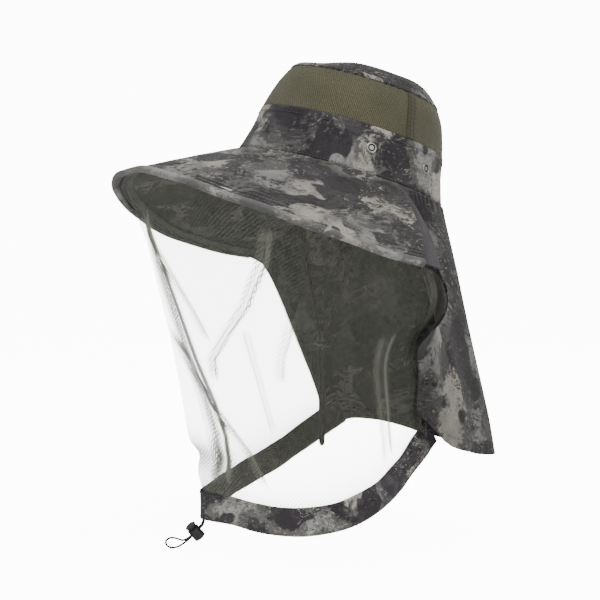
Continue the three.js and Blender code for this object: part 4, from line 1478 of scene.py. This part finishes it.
class VEIL_OT_press_studs(bpy.types.Operator):
    """Makes the press studs on the lower crown band, caps outside and sockets inside"""

    bl_idname = "veil.press_studs"
    bl_label = "Press studs"

    def execute(self, context):
        cap, socket = self.cap(), self.socket()
        for side, sign in SIDES:
            for place, degrees in zip(("front", "rear"), STUD_ANGLES):
                angle = np.array(sign * math.radians(degrees))
                centre = crown_point(angle, STUD_HEIGHT, 0.0)
                up = crown_point(angle, STUD_HEIGHT + 1, 0.0) - centre
                outward = unit(np.cross(crown_point(angle + 0.01, STUD_HEIGHT, 0.0) - centre, up))
                for kind, model, way, offset in (("cap", cap, 1, 0.5),
                                                 ("socket", socket, -1, 1.25)):
                    name = f"stud_{kind}_{side}_{place}"
                    made = model.copy()
                    made.data = model.data.copy()
                    made.name = made.data.name = f"{name}_pressed"
                    context.scene.collection.objects.link(made)
                    spot = Vector(from_crown(centre + outward * way * offset)) * MM
                    facing_out = Vector(from_crown(outward * way))
                    turn = facing_out.to_track_quat("Z", "Y").to_matrix().to_4x4()
                    placed(made, Matrix.Translation(spot) @ turn, "pressed_steel")
                    # Faces in the ring round each well take the near-black finish: painted shade
                    # in the sunk well.
                    made.data.materials.append(finish("dark_steel"))
                    for face in made.data.polygons:
                        reach = (face.center - spot).cross(facing_out).length / MM
                        face.material_index = int(STUD_WELL_SHADE_RING[0] < reach < STUD_WELL_SHADE_RING[1])
                    settle(made, "hat", "steel", name)
        for model in (cap, socket):
            bpy.data.objects.remove(model)
        return {"FINISHED"}

    def cap(self):
        """A disc with a rolled ring, a sunk well and a small raised button."""
        cap = cylinder("stud_cap_model", STUD_RADIUS, 0, STUD_RIM)
        pick(cap, facing(1, STUD_RIM))
        raise_top(0.6, 0.45)
        inset(0.8)
        raise_top(-0.75)
        inset(0.9)
        raise_top(0.35)
        widen(0.8)
        rounded(cap, 0.16)
        return cap

    def socket(self):
        """A ring with a stepped well that the stud's post snaps into."""
        socket = cylinder("stud_socket_model", SOCKET_RADIUS, 0, SOCKET_RIM)
        pick(socket, facing(1, SOCKET_RIM))
        raise_top(0.7, 0.6)
        inset(1.1)
        raise_top(-0.8)
        inset(0.5)
        raise_top(-0.2)
        rounded(socket, 0.12)
        return socket


class VEIL_OT_crown(bpy.types.Operator):
    """Makes the crown: top panel, seam tape, knitted panels, lower band and sweatband"""

    bl_idname = "veil.crown"
    bl_label = "Crown"

    def execute(self, context):
        self.top()
        self.knit()
        self.band()
        return {"FINISHED"}

    def top(self):
        def dome(x, y):
            x, y = lerp(-1, 1, x), lerp(-1, 1, y)
            a, b = x * np.sqrt(1 - y * y / 2), y * np.sqrt(1 - x * x / 2)
            r = np.clip(np.hypot(a, b), 0, 1)
            angle = np.arctan2(a, b)
            rise = MESH_TOP - 0.6 + (DOME_RISE + 6 * b - 3 * bell(b, -0.8, 0.25)) * (1 - r**4)
            sag = 0.9 * bell(r, 0.55, 0.3) * np.sin(3 * angle + 1.0) - 0.5 * bell(r, 0.2, 0.25)
            pucker = 0.4 * np.sin(58 * angle + 2 * np.sin(5 * angle)) * fading(1 - r, 0.1)
            side, end = TOP_HALF_WIDTH - SHOULDER, TOP_HALF_LENGTH - SHOULDER
            return from_crown(vec(a * side, b * end, rise + sag + pucker))

        sewn_cloth("crown_top_cloth", dome, (150, 150), (-0.45, 0.45),
                   ("crown_top_print", "brim_lining"), "camouflage_cloth", "crown_top_panel")

        def tape(u, v):
            angle = 2 * math.pi * u
            z = lerp(MESH_TOP - 2.0, MESH_TOP + 1.6, v)
            roll = 0.15 * np.sin(math.pi * v) + 0.1 * np.sin(96 * angle)
            return from_crown(crown_point(angle, z, 0.5 + roll - shoulder(z) - 0.9 * v * v))

        sewn_cloth("crown_top_tape", tape, (480, 8), (-0.4, 0.4), ("crown_top_print",),
                   "camouflage_trim", "crown_top_seam", wrap=True)

    def knit(self):
        def panel_wave(angle, z, v):
            return 0.9 * np.sin(4 * angle + 0.06 * z) * np.sin(math.pi * v)

        def wall(start, end):
            def shape(u, v):
                angle = np.radians(lerp(start, end, u))
                z = lerp(BAND_TOP + 0.1, MESH_TOP - 0.3, v)
                top, foot = fading(MESH_TOP - z, 7), fading(z - BAND_TOP, 5)
                wave = (0.55 * np.sin(61 * angle + 1.3 * np.sin(9 * angle)) * top
                        + 0.3 * np.sin(47 * angle) * foot
                        + panel_wave(angle, z, v))
                return from_crown(crown_point(angle, z, -0.45 + wave - shoulder(z)))
            return shape

        for name, start, end, cells in (("front", -MESH_SEAM + 1, MESH_SEAM - 1, 300),
                                        ("rear", MESH_SEAM + 1, 359 - MESH_SEAM, 240)):
            sewn_cloth(f"crown_knit_{name}", wall(start, end), (cells, 34), (-0.4, 0.4),
                       ("olive_knit",), "olive_mesh", f"crown_mesh_{name}")
        rows = []
        for side, sign in SIDES:
            def seam(u, v, sign=sign):
                angle = np.radians(sign * MESH_SEAM + lerp(-3, 3, u))
                z = lerp(BAND_TOP + 0.5, MESH_TOP - 2.8, v)
                ridge = 0.45 * bell(u, 0.5, 0.12) + 0.1 * np.sin(70 * v)
                out = 0.6 + ridge + panel_wave(angle, z, v) - shoulder(z)
                return from_crown(crown_point(angle, z, out))

            sewn_cloth(f"crown_seam_{side}", seam, (16, 60), (-0.35, 0.35), ("olive_seam",),
                       "olive_mesh", f"crown_mesh_seam_{side}")
            rows += [seam_row(seam, u, np.linspace(0.03, 0.97, 60), 0.5) for u in (0.18, 0.82)]
        sewn("crown_seam_stitches", rows, "olive_thread", "olive_mesh")

    def band(self):
        def wall(u, v):
            angle = 2 * math.pi * u
            z = lerp(0, BAND_TOP - 0.35, v)
            foot = fading(z, 5)
            wave = (0.5 * np.sin(53 * angle + 2 * np.sin(5 * angle)) * foot
                    + 0.8 * np.sin(6 * angle + 0.8) * np.sin(math.pi * v)
                    + 0.45 * np.sin(15 * angle + 0.12 * z) * np.sin(math.pi * v))
            return from_crown(crown_point(angle, z, -0.45 + wave))

        v = np.linspace(0, 1, 40)
        hem = 0.45 + 0.35 * smooth((v - 0.85) / 0.03) + 0.1 * smooth((0.08 - v) / 0.03)
        sewn_cloth("crown_band_cloth", wall, (420, 40), (-0.45, hem),
                   ("crown_band_print", "brim_lining"), "camouflage_cloth", "crown_band",
                   wrap=True)
        turns = np.linspace(0, 1, 500)
        rows = [seam_row(wall, turns, 0.875, 0.85), seam_row(wall, turns, 0.03, 0.62)]
        sewn("crown_band_stitches", rows, "grey_thread", "camouflage_cloth")

        section = np.array(SEAM_ALLOWANCE, float)
        steps = np.linspace(0, 1, len(section))

        def allowance(u, v):
            angle = 2 * math.pi * u
            out, z = np.interp(v, steps, section[:, 0]), np.interp(v, steps, section[:, 1])
            return from_crown(crown_point(angle, z, out + 0.15 * np.sin(70 * angle)))

        # The seam allowance is near-black plain cloth: painted shade in the crease where the crown
        # meets the brim.
        sewn_cloth("crown_seam_allowance", allowance, (360, 14), (-0.3, 0.3), ("fold_tape",),
                   "camouflage_trim", wrap=True)

        def sweat(u, v):
            angle = 2 * math.pi * u
            wave = 0.25 * np.sin(40 * angle) * fading(v, 0.1) + 0.3 * np.sin(math.pi * v)
            z = lerp(1, SWEATBAND_TOP, v)
            return from_crown(crown_point(angle, z, -SWEATBAND_INSET - wave))

        sewn_cloth("sweatband_cloth", sweat, (300, 26), (-0.5, 0.45), ("sweat_tape",),
                   "olive_tape", "sweatband", wrap=True)
        rows = [seam_row(sweat, turns, v, -0.6) for v in (0.07, 0.93)]
        sewn("sweatband_stitches", rows, "grey_thread", "olive_tape")


def brim_cover(u, v):
    """The brim's top face, from its edge (v 0) to the crown (v 1), with its sewn rows."""
    share = 1 - v
    angle = brim_angle(u, share)
    down = lerp(BRIM_COVER_START, brim_length(angle) - BRIM_COVER_END, share)
    inward = brim_length(angle) - down
    height = -0.45
    for row in BRIM_ROWS:
        height = height - 0.45 * bell(inward, row, 1.1)
    crumple = (0.35 * np.sin(31 * angle + 0.09 * down) * np.sin(0.05 * down + 2 * angle)
               + 0.25 * np.sin(13 * angle - 0.07 * down))
    height = height + (0.35 + crumple) * smooth(inward / 30) * smooth((1 - v) / 0.05)
    return from_crown(brim_point(angle, down, height))


def brim_under(u, v):
    """The brim's lining, slack between the edge and the crown."""
    share = 1 - v
    angle = brim_angle(u, share)
    down = lerp(3.0, brim_length(angle) - BRIM_COVER_END, share)
    inward = brim_length(angle) - down
    slack = (0.5 + 0.5 * np.sin(23 * angle + 0.05 * down) * np.sin(9 * angle - 0.04 * down)
             + 0.35 * np.sin(61 * angle) * bell(inward, 20, 14))
    height = -3.25 - 0.9 * slack * smooth((inward - 21) / 12) * smooth((1 - v) / 0.06)
    return from_crown(brim_point(angle, down, height))


def brim_strip(section):
    """A strip along the brim's edge, from its section (in from the edge, height) over v."""
    places, heights = (np.array(x, float) for x in zip(*section))
    steps = np.concatenate([[0], np.cumsum(np.hypot(np.diff(places), np.diff(heights)))])
    steps = steps / steps[-1]

    def shape(u, v):
        angle = brim_angle(u, 1)
        down = brim_length(angle) + np.interp(v, steps, places)
        return from_crown(brim_point(angle, down, np.interp(v, steps, heights)))
    return shape


class VEIL_OT_brim(bpy.types.Operator):
    """Makes the brim: top cover, lining, edge binding, net tape and the folds at its ends"""

    bl_idname = "veil.brim"
    bl_label = "Brim"

    def execute(self, context):
        edge, tape = brim_strip(BINDING), brim_strip(NET_TAPE)
        for name, shape, size, faces, surface, slot, node in (
                ("brim_top_cloth", brim_cover, (420, 96), (-0.45, 0.45), "brim_print",
                 "camouflage_cloth", "brim_top"),
                ("brim_lining_cloth", brim_under, (340, 60), (-0.4, 0.4), "brim_lining",
                 "olive_lining", "brim_lining"),
                ("brim_binding", edge, (500, 30), (-0.3, 0.32), "edge_print",
                 "camouflage_trim", "brim_edge_binding"),
                ("net_seam_tape", tape, (420, 10), (-0.32, 0.32), "dark_tape",
                 "olive_tape", "net_top_tape")):
            sewn_cloth(name, shape, size, faces, (surface,), slot, node)
        for side, sign in SIDES:
            self.end_fold(side, sign)
        along = np.linspace(0.002, 0.998, 600)
        # the cover's v at a distance in from the edge varies with the brim's length
        length = brim_length(brim_angle(along, 1)) - BRIM_COVER_START - BRIM_COVER_END
        rows = [seam_row(brim_cover, along, (row - BRIM_COVER_END) / length, 0.36)
                for row in BRIM_ROWS]
        rows.append(seam_row(edge, along, 0.93, 0.34))
        sewn("brim_stitches", rows, "pale_thread", "camouflage_trim")
        rows = [seam_row(edge, along, 0.07, 0.34)]
        rows += [seam_row(tape, along, v, -0.36) for v in (0.12, 0.88)]
        sewn("brim_under_stitches", rows, "dark_thread", "olive_tape")
        return {"FINISHED"}

    def end_fold(self, side, sign):
        def shape(u, v):
            v = v if sign > 0 else 1 - v
            end = brim_end(sign, u)
            bulge = 0.55 * np.sin(math.pi * v) + 0.25 * np.sin(14 * u + 5 * v) * smooth(u * 6)
            start = brim_point(end, lerp(6, brim_length(end) - 1, u), -1.9 + bulge)
            return from_crown(start + vec(0, lerp(0.8, lerp(5, 16, u), v), 0))

        # The end folds are near-black plain cloth: painted shade of the gap between the brim's end
        # and the flap.
        sewn_cloth(f"brim_end_fold_cloth_{side}", shape, (120, 22), (-0.6, 0.55),
                   ("fold_tape",), "camouflage_trim", f"brim_end_fold_{side}")
        along = np.linspace(0.03, 0.97, 120)
        rows = [seam_row(shape, along, v, 0.6) for v in (0.12, 0.88)]
        sewn(f"brim_end_stitches_{side}", rows, "grey_thread", "camouflage_trim")


class VEIL_OT_neck_flap(bpy.types.Operator):
    """Makes the neck flap with its turned hems"""

    bl_idname = "veil.neck_flap"
    bl_label = "Neck flap"

    def execute(self, context):
        def whole(u, v):
            return flap_point(lerp(-1, 1, u), lerp(0.002, 1, v))

        def lower(u, v):
            return flap_point(lerp(-0.95, 0.95, u), lerp(0.955, 0.998, v))

        flap = sewn_cloth("neck_flap_cloth", whole, (420, 110), (-0.42, 0.42),
                          ("flap_print", "flap_inside"), "camouflage_cloth", "neck_flap")
        pieces = [sewn_cloth("flap_hem_turned", lower, (420, 9), (-1.45, -0.75),
                             ("flap_inside",), "camouflage_trim", "flap_hem")]
        for side, sign in SIDES:
            def edge(u, v, sign=sign):
                return flap_point(sign * lerp(0.95, 0.998, u), lerp(0.01, 1, v))

            faces = (1.3, 1.9) if sign > 0 else (-1.9, -1.3)
            pieces.append(sewn_cloth(f"flap_edge_{side}", edge, (12, 150), faces,
                                     ("flap_print",), "olive_tape", f"flap_front_hem_{side}"))

            def gusset(u, v, sign=sign):
                end = brim_end(sign, u)
                under = from_crown(brim_point(end, lerp(6, brim_length(end) - 1.5, u), -3.2))
                top = flap_point(sign * lerp(FLAP_SEAM_SHARE, 0.998, u), 0.012)
                place = lerp(under, top, (v if sign > 0 else 1 - v)[..., None])
                return place + vec(0, 1.1 * np.sin(math.pi * v), 0)

            sewn_cloth(f"flap_gusset_{side}", gusset, (120, 12), (-0.4, 0.4),
                       ("flap_print", "flap_inside"), "camouflage_cloth")
        across, down = np.linspace(-0.94, 0.94, 700), np.linspace(0.03, 0.97, 300)
        rows = [seam_row(flap_point, across, 0.957, 0.46)]
        for sign in (1, -1):
            rows += [seam_row(flap_point, sign * u, down, 1.98) for u in (0.957, 0.99)]
        sewn("flap_stitches", rows, "grey_thread", "camouflage_trim")
        return {"FINISHED"}


class VEIL_OT_face_net(bpy.types.Operator):
    """Makes the face net, hung from the brim and gathered into the neck band"""

    bl_idname = "veil.face_net"
    bl_label = "Face net"

    def execute(self, context):
        def whole(u, v):
            return net_point(lerp(-1, 1, u), v)

        crowded = grid_of(lambda u, v: net_density(lerp(-1, 1, u), v), 480, 200)
        net = self.open_sheet("face_net_cloth", grid_of(whole, 480, 200), "sheer_net", crowded)
        settle(net, "hat", "veil_net", "face_net")
        for side, sign in SIDES:
            def strip(u, v, sign=sign):
                return net_point(sign * lerp(0.982, 1.0, u if sign > 0 else 1 - u), v) + vec(
                    -0.5 * sign, 0.3, 0)

            hem = self.open_sheet(f"face_net_edge_{side}", grid_of(strip, 6, 200), "net_hem")
            settle(hem, "hat", "veil_net")
        return {"FINISHED"}

    def open_sheet(self, name, grid, surface, crowded=None):
        """A single layer of net that faces outwards, with UVs along the cloth. A second UV layer
        holds how far its threads crowd together."""
        columns, rows = grid.shape[:2]
        faces = grid_faces(columns, rows, False)[:, ::-1]
        along = np.linalg.norm(np.gradient(grid, axis=0), axis=-1).mean(1)
        across = np.linalg.norm(np.gradient(grid, axis=1), axis=-1).mean(0)
        u, v = (np.cumsum(x) * MM for x in (along, across))
        uvs = np.stack([u[faces // rows], v[faces % rows]], -1)
        made = new_object(name, grid.reshape(-1, 3), faces, uvs, None, (finish(surface),))
        level = np.zeros(columns * rows) if crowded is None else crowded.ravel()
        layer = made.data.uv_layers.new(name="crowding")
        layer.data.foreach_set("uv", np.stack([level[faces]] * 2, -1).astype(np.float32).ravel())
        return made


class VEIL_OT_neck_band(bpy.types.Operator):
    """Makes the two casing strips of the neck band round the drawcord"""

    bl_idname = "veil.neck_band"
    bl_label = "Neck band"

    def execute(self, context):
        def casing(side):
            def shape(u, v):
                s = lerp(BAND_FROM, BAND_TO, u)
                rise = lerp(-BAND_HEIGHT / 2, BAND_HEIGHT / 2, v)
                ends = smooth(np.minimum(u, 1 - u) / 0.02)
                out = side * (band_channel(s, rise) + 0.45) + band_gather(s, rise) * ends
                return band_point(s, rise, out)
            return shape

        made = [
            sewn_cloth(f"neck_band_cloth_{name}", casing(side), (520, 30), (-0.42, 0.42),
                       (surface, "band_inside"), slot, f"neck_band_{name}")
            for name, side, surface, slot in (
                ("outer", 1, "band_print", "camouflage_cloth"),
                ("inner", -1, "band_inside", "olive_lining"))]
        along = np.linspace(0.01, 0.99, 700)
        rows = [seam_row(casing(1), along, v, 0.47) for v in (0.07, 0.93)]
        sewn("neck_band_stitches", rows, "grey_thread", "camouflage_cloth")
        return {"FINISHED"}


class VEIL_OT_frame_nodes(bpy.types.Operator):
    """Gives the frame's own shown pieces their finishes"""

    bl_idname = "veil.frame_nodes"
    bl_label = "Frame finishes"

    def execute(self, context):
        for node, surface in (("brim_core", "stiff_board"), ("cord_lock_spring", "pressed_steel")):
            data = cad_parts[node].data
            data.materials.clear()
            data.materials.append(finish(surface))
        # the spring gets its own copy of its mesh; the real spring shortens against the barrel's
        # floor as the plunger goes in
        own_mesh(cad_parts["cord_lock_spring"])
        return {"FINISHED"}


ORDER = ("stage", "cords", "cord_lock", "chin_slider", "press_studs", "crown", "brim",
         "neck_flap", "neck_band", "face_net", "frame_nodes")


class VEIL_PT_panel(bpy.types.Panel):
    """Lists the veil's settings and its pieces"""

    bl_label = "Beekeeping Veil"
    bl_idname = "VEIL_PT_panel"
    bl_space_type = "VIEW_3D"
    bl_region_type = "UI"
    bl_category = "Veil"

    def draw(self, context):
        for settings in (context.scene.veil_colours, context.scene.veil_cloth,
                         context.scene.veil_stage):
            box = self.layout.box()
            for key in settings.__annotations__:
                box.prop(settings, key)
        for name in ORDER:
            self.layout.operator(f"veil.{name}")


CLASSES = (
    VeilColours, VeilCloth, VeilStage, VEIL_OT_stage, VEIL_OT_cords, VEIL_OT_cord_lock,
    VEIL_OT_chin_slider, VEIL_OT_press_studs, VEIL_OT_crown, VEIL_OT_brim, VEIL_OT_neck_flap,
    VEIL_OT_neck_band, VEIL_OT_face_net, VEIL_OT_frame_nodes, VEIL_PT_panel,
)


def register():
    for item in CLASSES:
        bpy.utils.register_class(item)
    scene = bpy.types.Scene
    scene.veil_colours = bpy.props.PointerProperty(type=VeilColours)
    scene.veil_cloth = bpy.props.PointerProperty(type=VeilCloth)
    scene.veil_stage = bpy.props.PointerProperty(type=VeilStage)


def unregister():
    for key in ("veil_stage", "veil_cloth", "veil_colours"):
        delattr(bpy.types.Scene, key)
    for item in reversed(CLASSES):
        bpy.utils.unregister_class(item)


def main():
    register()
    for name in ORDER:
        getattr(bpy.ops.veil, name)()


if __name__ == "__main__":
    main()
